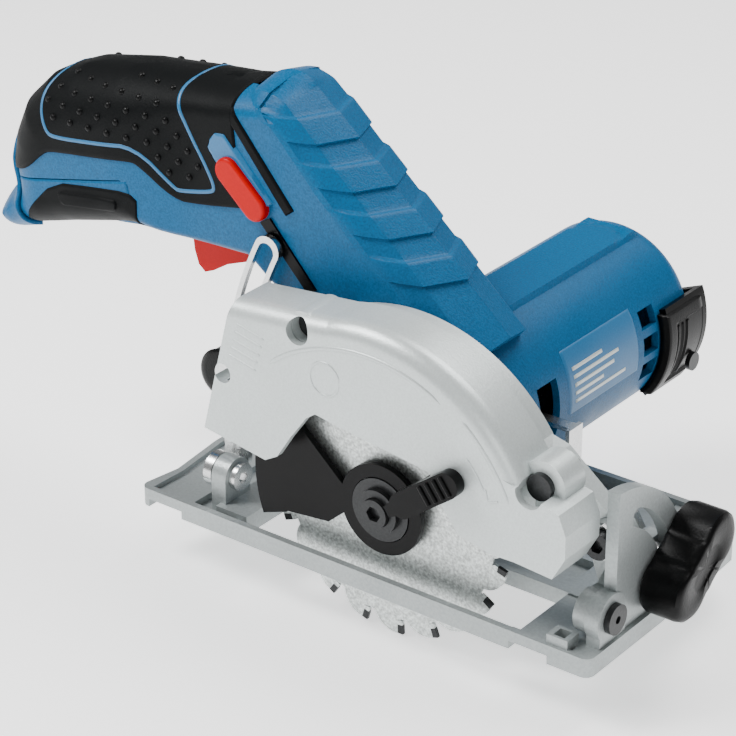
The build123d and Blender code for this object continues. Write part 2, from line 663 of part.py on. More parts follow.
# ---- body shells --------------------------------------------------------------------
cover_t = 3.0
shell_screw_at = [(-84, 119.5), (-45, 101), (-30, 77)]
rest_line = [(-57, 131), (12, 68.5)]      # seam between the shells and the ribbed cover
crest_line = [(-50, 136), (22, 75)]       # outermost line of the ribbed cover
pack_u = math.radians(pack_deg)
pack_corner = (-104, 79)                  # lower front corner of the battery pack
cap_from = 50.4                           # front of the pack's end cap along its slope
shoe_h = 17.0                             # height of the pack's visible lower part
shoe_half = 17.5
core_h = 34.0                             # height of the part inside the handle
core_half = 13.2


def pack_point(u, v):
    """Point (x, z) at u behind and v above the pack's lower front corner, in its slope."""
    return (pack_corner[0] - u * math.cos(pack_u) - v * math.sin(pack_u),
            pack_corner[1] - u * math.sin(pack_u) + v * math.cos(pack_u))


def pack_slab(u1, u2, v1, v2, y1, y2, mode=Mode.ADD):
    """Block along the pack's slope."""
    slab([pack_point(u1, v1), pack_point(u2, v1), pack_point(u2, v2), pack_point(u1, v2)],
         y1, y2, mode)


def body_half(y1, y2):
    """The handle and nose between y1 and y2, hollow, with every opening cut."""
    with BuildPart() as half:
        slab([(-58, 132), (-76, 131), (-94, 129.5), (-114, 127.5), (-134, 123.5), (-152, 118),
              (-163, 109), (-168, 98), (-166, 70), (-140, 76), (-107, 82), (-92, 80),
              (-64, 80.5), (-58, 84)], body_mid - grip_half, body_mid + grip_half)
        with BuildSketch(Plane(origin=(-50, blade_y + body_mid, 102), x_dir=(0, 1, 0),
                               z_dir=(-math.cos(0.15), 0, -math.sin(0.15)))):
            with Locations((0, -2)):
                RectangleRounded(2 * grip_half, 66, 14)
        extrude(amount=140, mode=Mode.INTERSECT)
        with BuildSketch(level(50)):
            with Locations((-139.5, body_mid)):
                RectangleRounded(75, 2 * grip_half, 13)
            with Locations((-80, body_mid)):
                Rectangle(70, 2 * nose_half)
        extrude(amount=100, mode=Mode.INTERSECT)
        slab([(-74, 131.5), (-61, 134), rest_line[0], rest_line[1], (0, 50), (-26, 56),
              (-40, 66), (-56, 74), (-66, 81)], body_mid - nose_half, body_mid + nose_half)
        slab([(-61, 133.7), (crest_line[0][0] - 2.5, crest_line[0][1] - cover_t),
              (crest_line[1][0] - 2.5, crest_line[1][1] - cover_t), rest_line[1]],
             body_mid - 10, body_mid + 10)
        slab([(-100, 85), (-100, 124), (-70, 127.5), (-61, 128), (-20, 91), (-14, 78),
              (-28, 64), (-42, 71), (-60, 81), (-68, 84)],
             body_mid - nose_half + shell_wall, body_mid + nose_half - shell_wall,
             mode=Mode.SUBTRACT)
        for x, z in shell_screw_at:
            rod(x, z, 4, body_mid - nose_half + 1, body_mid + nose_half - 1)
            rod(x, z, 1.36, body_mid - 10.4, body_mid + nose_half + 1, mode=Mode.SUBTRACT)
            rod(x, z, 2.7, body_mid + nose_half - 1.9, body_mid + nose_half + 5,
                mode=Mode.SUBTRACT)
        rod(motor_x, motor_z, motor_r + seat, 0, 60, mode=Mode.SUBTRACT)
        rod(-69, 82.5, 1.5 + fit, body_mid - 7.6, body_mid + 7.6, mode=Mode.SUBTRACT)
        for y in (-5, 0, 5):
            block(-112, -99, body_mid + y - 1.2, body_mid + y + 1.2, 99.8, 106.2,
                  mode=Mode.SUBTRACT)
        # battery bay: shoe below, core inside, end cap behind
        pack_slab(-0.5, 95, -25, shoe_h + gap + 0.1, body_mid - 25, body_mid + 25,
                  mode=Mode.SUBTRACT)
        pack_slab(-0.5, 95, 0, core_h + gap + 0.1, body_mid - core_half - gap - 0.1,
                  body_mid + core_half + gap + 0.1, mode=Mode.SUBTRACT)
        pack_slab(cap_from - gap - 0.1, 95, -25, 60, body_mid - 25, body_mid + 25,
                  mode=Mode.SUBTRACT)
        block(-94.4, -64, body_mid - 5.6, body_mid + 5.6, 60, 90.6, mode=Mode.SUBTRACT)
        with BuildSketch(across(16.5)):
            with Locations((-63.5, 104)):
                SlotOverall(23, 9.4, rotation=-42)
        extrude(amount=10, mode=Mode.SUBTRACT)
        block(-200, 60, y1, y2, 0, 200, mode=Mode.INTERSECT)
    return half.part


finish(body_half(0, body_mid - 0.05), "shell_near")
finish(body_half(body_mid + 0.05, 60), "shell_far")

with BuildPart() as ribbed_cover:
    slab([(-61, 134.2), crest_line[0], crest_line[1], (rest_line[1][0] + 0.2, rest_line[1][1]),
          (rest_line[0][0] + 0.2, rest_line[0][1] + 0.2)],
         body_mid - nose_half - 0.3, body_mid + nose_half + 0.3)
    long_edges = ribbed_cover.edges().filter_by(lambda e: e.length > 80)
    chamfer(long_edges.group_by(Axis.X)[-1], 5)
    slab([(-64, 134.2), (crest_line[0][0] - 2.4, crest_line[0][1] - cover_t + 0.1),
          (crest_line[1][0] - 2.4, crest_line[1][1] - cover_t + 0.1), (10, 60)],
         body_mid - 10.1, body_mid + 10.1, mode=Mode.SUBTRACT)
    rod(motor_x, motor_z, motor_r + seat, 0, 60, mode=Mode.SUBTRACT)
finish(ribbed_cover.part, "ribbed_cover")

with BuildPart() as depth_scale:
    slab([(-57.2, 95), (-53.6, 97), (-36.6, 78.6), (-39.6, 76.6)],
         body_mid - nose_half - 0.8, body_mid - nose_half - 0.05)
finish(depth_scale.part, "depth_scale")

with BuildPart() as shell_screws:
    for x, z in shell_screw_at:
        rod(x, z, 2.6, body_mid + nose_half - 1.8, body_mid + nose_half + 0.3)
        rod(x, z, 1.3, body_mid - 10, body_mid + nose_half - 1.7)
finish(shell_screws.part, "shell_screws")

# ---- controls and battery -----------------------------------------------------------
with BuildPart() as trigger:
    slab([(-93, 82), (-92, 73), (-90.5, 68.5), (-88, 66.5), (-84.5, 68), (-79, 71.5),
          (-70, 75), (-66, 78.5), (-66, 84), (-74, 86), (-91.5, 86)], body_mid - 5.2,
         body_mid + 5.2)
    rod(-69, 82.5, 1.5 + fit, 0, 60, mode=Mode.SUBTRACT)
finish(trigger.part, "trigger")

with BuildPart() as trigger_pin:
    rod(-69, 82.5, 1.5, body_mid - 7.5, body_mid + 7.5)
finish(trigger_pin.part, "trigger_pin")

with BuildPart() as switch_module:
    block(-96, -72, body_mid - 6.5, body_mid + 6.5, 94, 110)
    block(-88, -84, body_mid - 2, body_mid + 2, 92.2, 94.2)
finish(switch_module.part, "switch_module")

with BuildPart() as lock_off_button:
    with BuildSketch(across(16.4)):
        with Locations((-63.5, 104)):
            SlotOverall(22, 8.6, rotation=-42)
    extrude(amount=5.6)
    fillet(lock_off_button.faces().sort_by(Axis.Y)[0].edges(), 1)
finish(lock_off_button.part, "lock_off_button")

with BuildPart() as battery_case:
    slab([pack_point(0, 0), pack_point(74, 0), pack_point(72.5, 3.6), pack_point(66, 9),
          pack_point(cap_from + 8, shoe_h), pack_point(0, shoe_h)],
         body_mid - shoe_half, body_mid + shoe_half)
    slab([pack_point(cap_from, 8), pack_point(cap_from, core_h + 9), (-168, 98),
          (-169.5, 88), (-169.5, 81), pack_point(70, 4)],
         body_mid - grip_half + 4, body_mid + grip_half - 4)
    pack_slab(0, cap_from + 2, shoe_h - 1, core_h, body_mid - core_half,
              body_mid + core_half)
    pack_slab(1.6, cap_from, 1.6, shoe_h - 1.6, body_mid - shoe_half + 2.5,
              body_mid + shoe_half - 2.5, mode=Mode.SUBTRACT)
    pack_slab(1.6, cap_from, shoe_h - 2, core_h - 1.6, body_mid - core_half + 1.6,
              body_mid + core_half - 1.6, mode=Mode.SUBTRACT)
    for side in (-1, 1):
        pack_slab(8, 28, 3.6, 10.4, body_mid + side * shoe_half - 1.9,
                  body_mid + side * shoe_half + 1.9, mode=Mode.SUBTRACT)
finish(battery_case.part, "battery_case")

cell_r = 7.3
with BuildPart() as battery_cells:
    for v, y in ((9.1, -7.4), (9.1, 7.4), (23.8, 0)):
        at = pack_point(2.2, v)
        with BuildSketch(Plane(origin=(at[0], blade_y + body_mid + y, at[1]),
                               x_dir=(0, 1, 0),
                               z_dir=(-math.cos(pack_u), 0, -math.sin(pack_u)))):
            Circle(cell_r)
        extrude(amount=cap_from - 3)
finish(battery_cells.part, "battery_cells")

for side, name in ((-1, "latch_near"), (1, "latch_far")):
    with BuildPart() as latch:
        outer = body_mid + side * (shoe_half + 0.9)
        inner = body_mid + side * (shoe_half - 0.6)
        pack_slab(8.4, 27.6, 4, 10, min(outer, inner), max(outer, inner))
    finish(latch.part, name)

with BuildPart() as contact_block:
    block(-99.4, -97.4, body_mid - 8, body_mid + 8, 96, 112)
    for y in (-5, 0, 5):
        block(-108, -99.3, body_mid + y - 1, body_mid + y + 1, 100, 106)
finish(contact_block.part, "contact_block")

with BuildPart() as guard_screws:
    rod(56, 53, 4, -7, -5.1)
    rod(56, 53, screw_r - 0.1, -5.2, house_far - 2)
    rod(-24, 78.5, 3.6, -6.4, -4.1)
    rod(-24, 78.5, screw_r - 0.1, -4.2, house_far - 2)
finish(guard_screws.part, "guard_screws")

with BuildPart() as bracket_screw:
    bar(motor_end - 4, motor_z - 12, 3, motor_r + 1, motor_r + 2.6)
finish(bracket_screw.part, "bracket_screw")
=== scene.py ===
# %% [markdown]
# # A compact cordless circular saw
# The saw's measured parts come as a fixed frame: every node keeps its place and its mesh, and
# rides on the body that moves it. This lesson adds what a CAD model leaves out: the swelling
# handle, its rubber grip, the stepped cover over the motor, and finishes that react to light.
# Lengths are in millimetres until a mesh is stored, when they become metres.

# %% Load the frame
import math

import bmesh
import bpy
import numpy as np
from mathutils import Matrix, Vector


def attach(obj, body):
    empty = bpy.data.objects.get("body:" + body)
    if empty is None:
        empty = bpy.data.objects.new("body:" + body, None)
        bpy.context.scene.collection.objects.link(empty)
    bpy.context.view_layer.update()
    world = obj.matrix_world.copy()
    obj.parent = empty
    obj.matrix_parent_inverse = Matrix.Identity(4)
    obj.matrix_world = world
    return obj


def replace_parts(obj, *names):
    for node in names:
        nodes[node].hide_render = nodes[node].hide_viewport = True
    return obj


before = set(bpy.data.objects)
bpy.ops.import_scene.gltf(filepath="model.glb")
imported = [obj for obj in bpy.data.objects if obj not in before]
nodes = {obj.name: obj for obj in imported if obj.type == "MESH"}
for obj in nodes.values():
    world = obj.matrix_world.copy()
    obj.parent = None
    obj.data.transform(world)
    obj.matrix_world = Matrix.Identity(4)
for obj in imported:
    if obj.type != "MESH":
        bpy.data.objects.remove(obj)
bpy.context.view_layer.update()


# %% [markdown]
# ## Finishes
# Moulded plastic is never one flat colour: spark-eroded moulds leave a fine grain, which shows
# as a slight sparkle in colour, gloss and relief. One recipe covers every plastic and casting
# here: a fine noise feeds colour and relief, and a wide one feeds the gloss. Object coordinates
# are used because every piece sits at the origin, so the grain has one real size all over the
# saw. Constants go straight on the shader's sockets, which is what the export keeps.

# %% The finish recipe


WIDE_GRAIN = 45.0
WORN_GREY = (0.62, 0.62, 0.64, 1)
BUMP_DEPTH = 0.0004


def finish(name, colour, rough, metal=0.0, grain=1500.0, tint=0.1, relief=0.1, patch=0.0,
           shine=0.5):
    """Shader: colour from (1 - tint) to (1 + tint) x base and bump by fine noise, gloss by wide."""
    made = bpy.data.materials.new(name)
    made.use_nodes = True
    tree = made.node_tree
    shader = tree.nodes["Principled BSDF"]
    shader.inputs["Metallic"].default_value = metal
    shader.inputs["Specular IOR Level"].default_value = shine
    place = tree.nodes.new("ShaderNodeTexCoord")
    fine = tree.nodes.new("ShaderNodeTexNoise")
    fine.inputs["Scale"].default_value = grain
    fine.inputs["Detail"].default_value = 3.0
    tree.links.new(place.outputs["Object"], fine.inputs["Vector"])
    shades = tree.nodes.new("ShaderNodeValToRGB")
    shades.color_ramp.elements[0].position = 0.32
    shades.color_ramp.elements[1].position = 0.68
    shades.color_ramp.elements[0].color = [c * (1 - tint) for c in colour] + [1]
    shades.color_ramp.elements[1].color = [min(c * (1 + tint), 1) for c in colour] + [1]
    tree.links.new(fine.outputs["Fac"], shades.inputs["Fac"])
    wide = tree.nodes.new("ShaderNodeTexNoise")
    wide.inputs["Scale"].default_value = WIDE_GRAIN
    wide.inputs["Detail"].default_value = 4.0
    tree.links.new(place.outputs["Object"], wide.inputs["Vector"])
    if patch:
        mix = tree.nodes.new("ShaderNodeMix")
        mix.data_type = "RGBA"
        mix.blend_type = "MULTIPLY"
        soft = tree.nodes.new("ShaderNodeMapRange")
        soft.inputs["From Min"].default_value = 0.35
        soft.inputs["From Max"].default_value = 0.75
        soft.inputs["To Min"].default_value = 0.0
        soft.inputs["To Max"].default_value = patch
        tree.links.new(wide.outputs["Fac"], soft.inputs["Value"])
        tree.links.new(soft.outputs["Result"], mix.inputs["Factor"])
        tree.links.new(shades.outputs["Color"], mix.inputs["A"])
        mix.inputs["B"].default_value = WORN_GREY
        tree.links.new(mix.outputs["Result"], shader.inputs["Base Color"])
    else:
        tree.links.new(shades.outputs["Color"], shader.inputs["Base Color"])
    gloss = tree.nodes.new("ShaderNodeMapRange")
    gloss.inputs["From Min"].default_value = 0.3
    gloss.inputs["From Max"].default_value = 0.7
    gloss.inputs["To Min"].default_value = max(rough - 0.06, 0.02)
    gloss.inputs["To Max"].default_value = min(rough + 0.08, 1.0)
    tree.links.new(wide.outputs["Fac"], gloss.inputs["Value"])
    tree.links.new(gloss.outputs["Result"], shader.inputs["Roughness"])
    bump = tree.nodes.new("ShaderNodeBump")
    bump.inputs["Strength"].default_value = relief
    bump.inputs["Distance"].default_value = BUMP_DEPTH
    tree.links.new(fine.outputs["Fac"], bump.inputs["Height"])
    tree.links.new(bump.outputs["Normal"], shader.inputs["Normal"])
    return made


body_blue = finish("body_blue", (0.0010, 0.084, 0.205), 0.42, grain=1700, tint=0.2, relief=0.25,
                   shine=0.18)
stripe_blue = finish("stripe_blue", (0.006, 0.12, 0.28), 0.4, grain=1700, tint=0.08, relief=0.1)
grip_black = finish("grip_black", (0.0007, 0.0013, 0.0016), 0.55, grain=2600, tint=0.3, relief=0.3,
                    shine=0.1)
hard_black = finish("hard_black", (0.0007, 0.0008, 0.0009), 0.36, grain=1800, tint=0.3, relief=0.2,
                    shine=0.14)
glossy_black = finish("glossy_black", (0.0006, 0.0006, 0.0008), 0.3, grain=1800, tint=0.2,
                      relief=0.06, shine=0.12)
signal_red = finish("signal_red", (0.46, 0.0, 0.0008), 0.32, grain=1500, tint=0.05, relief=0.05,
                    shine=0.12)
cast_light = finish("cast_light", (0.53, 0.575, 0.57), 0.36, metal=0.35, grain=1500, tint=0.06,
                    relief=0.14)
cast_base = finish("cast_base", (0.34, 0.37, 0.37), 0.38, metal=0.45, grain=1100, tint=0.08,
                   relief=0.25, patch=0.2)
bright_steel = finish("bright_steel", (0.62, 0.63, 0.63), 0.26, metal=1.0, grain=900, tint=0.06,
                      relief=0.06)
black_steel = finish("black_steel", (0.02, 0.021, 0.022), 0.3, metal=0.6, grain=1500, tint=0.2,
                     relief=0.08)
blade_steel = finish("blade_steel", (0.52, 0.55, 0.54), 0.34, metal=0.85, grain=1300, tint=0.34,
                     relief=0.2)
copper_red = finish("copper_red", (0.55, 0.2, 0.09), 0.35, metal=0.9, grain=700, tint=0.2)
cell_green = finish("cell_green", (0.05, 0.3, 0.16), 0.3, grain=900, tint=0.05, relief=0.02)
print("finishes:", len(bpy.data.materials))

# %% [markdown]
# ## Dressing the CAD nodes
# Pressed steel, machined castings and screws already have their true shapes in the frame, so
# they keep their meshes and only get a finish. A dictionary from finish to nodes keeps that
# decision readable.

# %% Finishes for the nodes that stay
dressing = {
    cast_base: ["base_plate", "tilt_bracket"],
    cast_light: ["upper_guard", "gear_housing", "bearing_plate"],
    bright_steel: ["rear_hinge_bolt", "depth_pivot_washer", "depth_pivot_nut", "bevel_bolt",
                   "depth_quadrant", "depth_clamp_bolt", "spindle_bearing", "motor_can",
                   "motor_bearings", "trigger_pin", "guard_spring", "spindle", "drive_gear",
                   "pinion", "lock_tab"],
    black_steel: ["front_hinge_pin", "depth_pivot_bolt", "guard_screws", "bracket_screw",
                  "shell_screws", "motor_magnets", "inner_flange", "outer_flange",
                  "blade_bolt"],
    blade_steel: ["saw_blade"],
    copper_red: ["rotor"],
    hard_black: ["fan", "switch_module", "contact_block", "latch_near", "latch_far"],
    glossy_black: ["lower_guard", "depth_scale", "tail_clip"],
    signal_red: ["trigger", "lock_off_button"],
    cell_green: ["battery_cells"],
    body_blue: ["motor_housing"],
}
for made, names in dressing.items():
    for name in names:
        for slot in nodes[name].material_slots:
            slot.material = made
print("dressed:", sum(len(names) for names in dressing.values()), "nodes")

# %% [markdown]
# ## From a grid of points to a piece
# Every new piece is a sheet of points worked out by a formula over two parameters. Its faces
# need no thought: each cell of the grid is one quad. Keeping this in one helper means that the
# formulas below are about shape only.

# %% Grid helpers
MM = 0.001


def cells(rows, cols, wrap_rows=False, wrap_cols=False):
    """Corner numbers of each cell of a rows x cols grid; a wrapped side meets itself."""
    i, j = np.meshgrid(np.arange(rows if wrap_rows else rows - 1),
                       np.arange(cols if wrap_cols else cols - 1), indexing="ij")
    below, right = (i + 1) % rows, (j + 1) % cols
    return np.stack([i * cols + j, below * cols + j, below * cols + right, i * cols + right],
                    -1).reshape(-1, 4)


def copies(faces, count, points_each):
    """One shape's faces, repeated for count shapes whose points follow each other."""
    return (faces[None] + (np.arange(count) * points_each)[:, None, None]).reshape(-1, 4)


def store(name, points, faces, made, body, angle=40):
    """A mesh object from points in millimetres, welded, smooth up to the angle, on a body."""
    mesh = bpy.data.meshes.new(name)
    mesh.from_pydata((points.reshape(-1, 3) * MM).tolist(), [], faces.tolist())
    piece = bpy.data.objects.new(name, mesh)
    bpy.context.scene.collection.objects.link(piece)
    mesh.materials.append(made)
    work = bmesh.new()
    work.from_mesh(mesh)
    bmesh.ops.remove_doubles(work, verts=work.verts, dist=0.00001)
    bmesh.ops.recalc_face_normals(work, faces=work.faces)
    work.to_mesh(mesh)
    work.free()
    mesh.shade_smooth()
    mesh.set_sharp_from_angle(angle=math.radians(angle))
    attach(piece, body)
    print(f"{name}: {len(mesh.vertices)} points on {body}")
    return piece


def thicken(piece, depth):
    """Gives an open sheet a wall of that depth in millimetres."""
    wall = piece.modifiers.new("wall", "SOLIDIFY")
    wall.thickness = depth * MM
    wall.offset = -1.0
    wall.use_even_offset = False


def soften(piece, width):
    """Rounds a piece's sharp edges by that many millimetres."""
    edge = piece.modifiers.new("edge", "BEVEL")
    edge.width = width * MM
    edge.segments = 2
    edge.limit_method = "ANGLE"
    edge.angle_limit = math.radians(35)


def along(line, count):
    """count points evenly spaced along a polyline, by its length."""
    line = np.asarray(line, float)
    run = np.concatenate([[0], np.cumsum(np.linalg.norm(np.diff(line, axis=0), axis=1))])
    at = np.linspace(0, run[-1], count)
    return np.stack([np.interp(at, run, line[:, k]) for k in range(line.shape[1])], -1)


def rounded(line, times):
    """Cuts each corner of a polyline at a quarter of its sides, again and again; ends stay."""
    line = np.asarray(line, float)
    for _ in range(times):
        here, there = line[:-1], line[1:]
        cut = np.stack([0.75 * here + 0.25 * there, 0.25 * here + 0.75 * there], 1)
        line = np.concatenate([line[:1], cut.reshape(-1, line.shape[1]), line[-1:]])
    return line


def ease(x, low, high):
    """0 below low, 1 above high, and a smooth S between."""
    t = np.clip((x - low) / (high - low), 0, 1)
    return t * t * (3 - 2 * t)


# %% [markdown]
# ## The swelling of the body
# Seen from the side the body is an outline. What makes it a handle is how thick it is at each
# point: nothing at the top line, full a thumb's width in, and nearly square along the bottom.
# So one function gives the half width for any point of the side view, and every skin, rubber
# pad, stripe and stud is laid on it. That way they can never part from each other.

# %% Half width of the body
TOP_LINE = np.array([(-162, 80), (-162, 90), (-160.3, 99), (-155.5, 109.5), (-146, 118.5),
                     (-134, 123.5), (-114, 127.5), (-94, 129.5), (-76, 131), (-60, 134)], float)
LOW_LINE = np.array([(-162, 80), (-172.5, 66.5), (-168, 63), (-160, 64.5), (-136, 71.5),
                     (-107, 79), (-92, 79), (-64, 80), (-56, 74), (-40, 66), (-24, 59)], float)
GRIP_HALF = 18.0
NOSE_HALF = 15.0


def distance(points, line):
    """Distance of every point of the side view from a polyline."""
    start, step = line[:-1], np.diff(line, axis=0)
    part = ((points[..., None, :] - start) * step).sum(-1) / (step ** 2).sum(-1)
    near = start + np.clip(part, 0, 1)[..., None] * step
    return np.sqrt(((points[..., None, :] - near) ** 2).sum(-1)).min(-1)


def roll(depth, power):
    """0 at an edge to 1 at depth 1, leaving the edge square on, like a rounded corner."""
    return (1 - (1 - np.clip(depth, 0, 1)) ** power) ** (1 / power)


def half_width(points):
    """Full width, narrowing to the nose, times the roll-off at the top and bottom lines."""
    nose = ease(points[..., 0], -118, -80)
    full = GRIP_HALF + (NOSE_HALF - GRIP_HALF) * nose
    full = full * (1 - 0.45 * ease(-points[..., 0], 159, 172))
    top = roll(distance(points, TOP_LINE) / (17 - 9 * nose), 2.2)
    back = 1 - ease(points[..., 0], -118, -96)
    low = roll(distance(points, LOW_LINE) / (4.5 + 5.5 * back), 2.4 - 0.4 * back)
    return full * top * low


def lay(points, side, lift=0.0):
    """Side-view points on the body's surface, moved outwards by lift."""
    wide = half_width(points)
    flat = np.stack([points[..., 0], side * wide, points[..., 1]], -1)
    u = np.gradient(flat, axis=0)
    v = np.gradient(flat, axis=1)
    out = np.cross(u, v)
    out /= np.linalg.norm(out, axis=-1, keepdims=True) + 1e-9
    if (out[..., 1] * side).sum() < 0:
        out = -out
    return flat + out * np.asarray(lift)[..., None]


def edge_lift(grid, high, low=-0.3, run=0.7, borders="brlt"):
    """Lift of a raised pad: high in the middle, falling to low within run of its borders."""
    rows, cols = grid.shape[:2]
    down = np.linalg.norm(np.diff(grid, axis=0), axis=-1)
    down = np.concatenate([np.zeros((1, cols)), np.cumsum(down, 0)])
    over = np.linalg.norm(np.diff(grid, axis=1), axis=-1)
    over = np.concatenate([np.zeros((rows, 1)), np.cumsum(over, 1)], 1)
    room = np.full((rows, cols), 1e9)
    if "t" in borders:
        room = np.minimum(room, down)
    if "b" in borders:
        room = np.minimum(room, down[-1] - down)
    if "l" in borders:
        room = np.minimum(room, over)
    if "r" in borders:
        room = np.minimum(room, over[:, -1:] - over)
    return low + (high - low) * ease(room, 0, run)


def refine(values, at_start, at_end, count=4):
    """Adds a few grid lines close to the ends of a 0 to 1 spacing."""
    extra = np.linspace(0, at_start, count + 1)[1:] if at_start else np.array([])
    last = 1 - np.linspace(0, at_end, count + 1)[1:] if at_end else np.array([])
    return np.unique(np.concatenate([values, extra, last]))


FINE_STEPS = 400


def pad_grid(upper, lower, cols, rows, crowd=1.7, edge=0.012):
    """Side-view grid from an upper line to a lower one, finer near its ends and lower line."""
    s = refine(np.linspace(0, 1, cols), edge, edge)
    t = refine(np.linspace(0, 1, rows) ** crowd, 0, edge * 1.6)
    a = along(upper, FINE_STEPS)
    b = along(lower, FINE_STEPS)
    pick = s * (FINE_STEPS - 1)
    base = np.arange(FINE_STEPS)
    a = np.stack([np.interp(pick, base, a[:, k]) for k in (0, 1)], -1)
    b = np.stack([np.interp(pick, base, b[:, k]) for k in (0, 1)], -1)
    return a + (b - a) * t[:, None, None]


def both_sides(grid, lift):
    """Near and far sheets of a grid that meet at the top line, as one grid of rows."""
    near, far = lay(grid, -1, lift), lay(grid, 1, lift)
    return np.concatenate([near[::-1], far[1:]])


print("half width at the palm:", float(half_width(np.array([-130.0, 102.0]))))

# %% [markdown]
# ## Body shells
# The two moulded halves meet in the middle plane. Their skin runs from the top line down to
# the seam with the battery at the back and to the lower line in front, then over the nose to
# the motor. It is laid in columns that lean with the handle at the back and with the cover
# line in front, so that the edges stay clean.

# %% Shell skins
SLOPE = math.radians(13)
PACK_CORNER = np.array([-104.0, 79.0])


def in_pack(u, v):
    """Side-view point u behind and v above the lower front corner of the battery."""
    return (PACK_CORNER[0] - u * math.cos(SLOPE) - v * math.sin(SLOPE),
            PACK_CORNER[1] - u * math.sin(SLOPE) + v * math.cos(SLOPE))


SEAM_V = 17.3
BACK_U = 50.0
shell_pairs = np.array([
    ((-160.2, 99.6), in_pack(BACK_U, SEAM_V)), ((-155.5, 109.5), in_pack(45, SEAM_V)),
    ((-146, 118.5), in_pack(36, SEAM_V)),
    ((-134, 123.5), in_pack(24, SEAM_V)), ((-114, 127.5), in_pack(3, SEAM_V)),
    ((-109, 128), in_pack(0, 16)), ((-106, 128.3), in_pack(0, 0.4)), ((-94, 129.5), (-92, 79)),
    ((-76, 131), (-78, 79.4)), ((-66, 132.6), (-64, 80)), ((-58, 130), (-58, 76)),
    ((-49, 121.5), (-50, 71)), ((-38, 109.5), (-42, 67)), ((-25.5, 98.5), (-35, 64)),
    ((-13.5, 87.5), (-30, 62)), ((-4.5, 80.5), (-27, 60.5)), ((8, 68), (-24, 59))])


def column_grid(pairs, cols, rows, crowd=1.7):
    """Grid whose columns run between paired upper and lower points."""
    place = np.concatenate([[0], np.cumsum(np.linalg.norm(np.diff(pairs[:, 0], axis=0), axis=1))])
    at = np.union1d(np.linspace(0, place[-1], cols), place)
    upper = np.stack([np.interp(at, place, pairs[:, 0, k]) for k in (0, 1)], -1)
    lower = np.stack([np.interp(at, place, pairs[:, 1, k]) for k in (0, 1)], -1)
    t = (np.linspace(0, 1, rows) ** crowd)
    t = np.unique(np.concatenate([t, 1 - np.linspace(0, 1, 12) ** 2 * 0.12]))
    return upper + (lower - upper) * t[:, None, None]


shell_grid = column_grid(shell_pairs, 120, 46)
for name, side in (("shell_near", -1), ("shell_far", 1)):
    sheet = lay(shell_grid, side)
    skin = store(name + "_skin", sheet, cells(*sheet.shape[:2]), body_blue, "saw")
    thicken(skin, 1.8)
    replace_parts(skin, name)

# %% [markdown]
# ## Rubber grip
# Soft rubber is moulded over the shells and stands a little proud, with a rolled edge. It wraps
# over the top, so near and far sheets are joined along the top line into one piece.

# %% Grip
RUBBER = 0.75
grip_upper = [(-160, 100.4), (-155.5, 109.5), (-146, 118.5), (-134, 123.5), (-114, 127.5),
              (-94, 129.5), (-76, 131), (-68, 132.2)]
grip_lower = [(-157.6, 86), (-149, 89), (-141, 96.6), (-137, 97.8), (-120, 100), (-106, 102),
              (-103, 101.6), (-90, 93), (-81, 93.8), (-64, 97)]
grip_grid = pad_grid(rounded(grip_upper, 2), rounded(grip_lower, 2), 110, 44)
grip_sheet = both_sides(grip_grid, edge_lift(grip_grid, RUBBER, borders="brl"))
store("rubber_grip", grip_sheet, cells(*grip_sheet.shape[:2]), grip_black, "saw",
      angle=60)

# %% [markdown]
# ## Stripe and studs
# A fine coloured line is moulded into the rubber and closes over the top as one loop. Inside
# it the palm rests on rows of small studs. The line is a rounded profile carried along the
# loop; the studs are one dome worked out once and added to an array of places.

# %% Stripe round the grip
stripe_side = [(-140.6, 120.7), (-142.2, 118.6), (-143.3, 115), (-142.2, 110), (-139.2, 104.6),
               (-136.6, 103.2), (-118, 105.6), (-103.8, 107.8), (-89.8, 97.5), (-87.5, 97.1),
               (-76.2, 99.5), (-74, 101.2), (-78.2, 108.6), (-82.2, 114.4), (-85.6, 120.4),
               (-88.3, 125), (-89.2, 128), (-88.4, 129.9)]


def outward(points, side):
    """Unit normal of the body at side-view points, from small steps in x and z."""
    step = 0.15
    dx = (half_width(points + [step, 0]) - half_width(points - [step, 0])) / (2 * step)
    dz = (half_width(points + [0, step]) - half_width(points - [0, step])) / (2 * step)
    out = np.stack([-dx, np.full(dx.shape, float(side)), -dz], -1)
    return out / np.linalg.norm(out, axis=-1, keepdims=True)


def carry(path, out, width, height, steps=9, sink=0.25, closed=False):
    """Half-round profile carried along a path: across is path direction x outward normal."""
    ahead = np.roll(path, -1, 0) - np.roll(path, 1, 0) if closed else np.gradient(path, axis=0)
    ahead /= np.linalg.norm(ahead, axis=1, keepdims=True) + 1e-9
    over = np.cross(ahead, out)
    over /= np.linalg.norm(over, axis=1, keepdims=True) + 1e-9
    a = np.linspace(0, math.pi, steps)
    across = over[:, None] * (np.cos(a) * width / 2)[None, :, None]
    return path[:, None] + across + out[:, None] * (np.sin(a) * height - sink)[None, :, None]


side_line = along(rounded(stripe_side, 2), 150)
near_line = np.stack([side_line[:, 0], -half_width(side_line), side_line[:, 1]], -1)
near_out = outward(side_line, -1)
flip = np.array([1, -1, 1])
near_line += near_out * RUBBER
loop = np.concatenate([near_line, (near_line * flip)[::-1]])
loop_out = np.concatenate([near_out, (near_out * flip)[::-1]])
ribbon = carry(loop, loop_out, 1.5, 0.45, closed=True)
store("grip_stripe", ribbon, cells(*ribbon.shape[:2], wrap_rows=True), stripe_blue, "saw",
      angle=80)

# %% Studs


def inside_loop(points, line):
    """True where a side-view point is inside the closed line, by counting crossings."""
    a, b = line, np.roll(line, -1, 0)
    x, z = points[:, :1], points[:, 1:]
    cross = ((a[:, 1] > z) != (b[:, 1] > z)) & (
        x < (b[:, 0] - a[:, 0]) * (z - a[:, 1]) / (b[:, 1] - a[:, 1] + 1e-12) + a[:, 0])
    return cross.sum(1) % 2 == 1


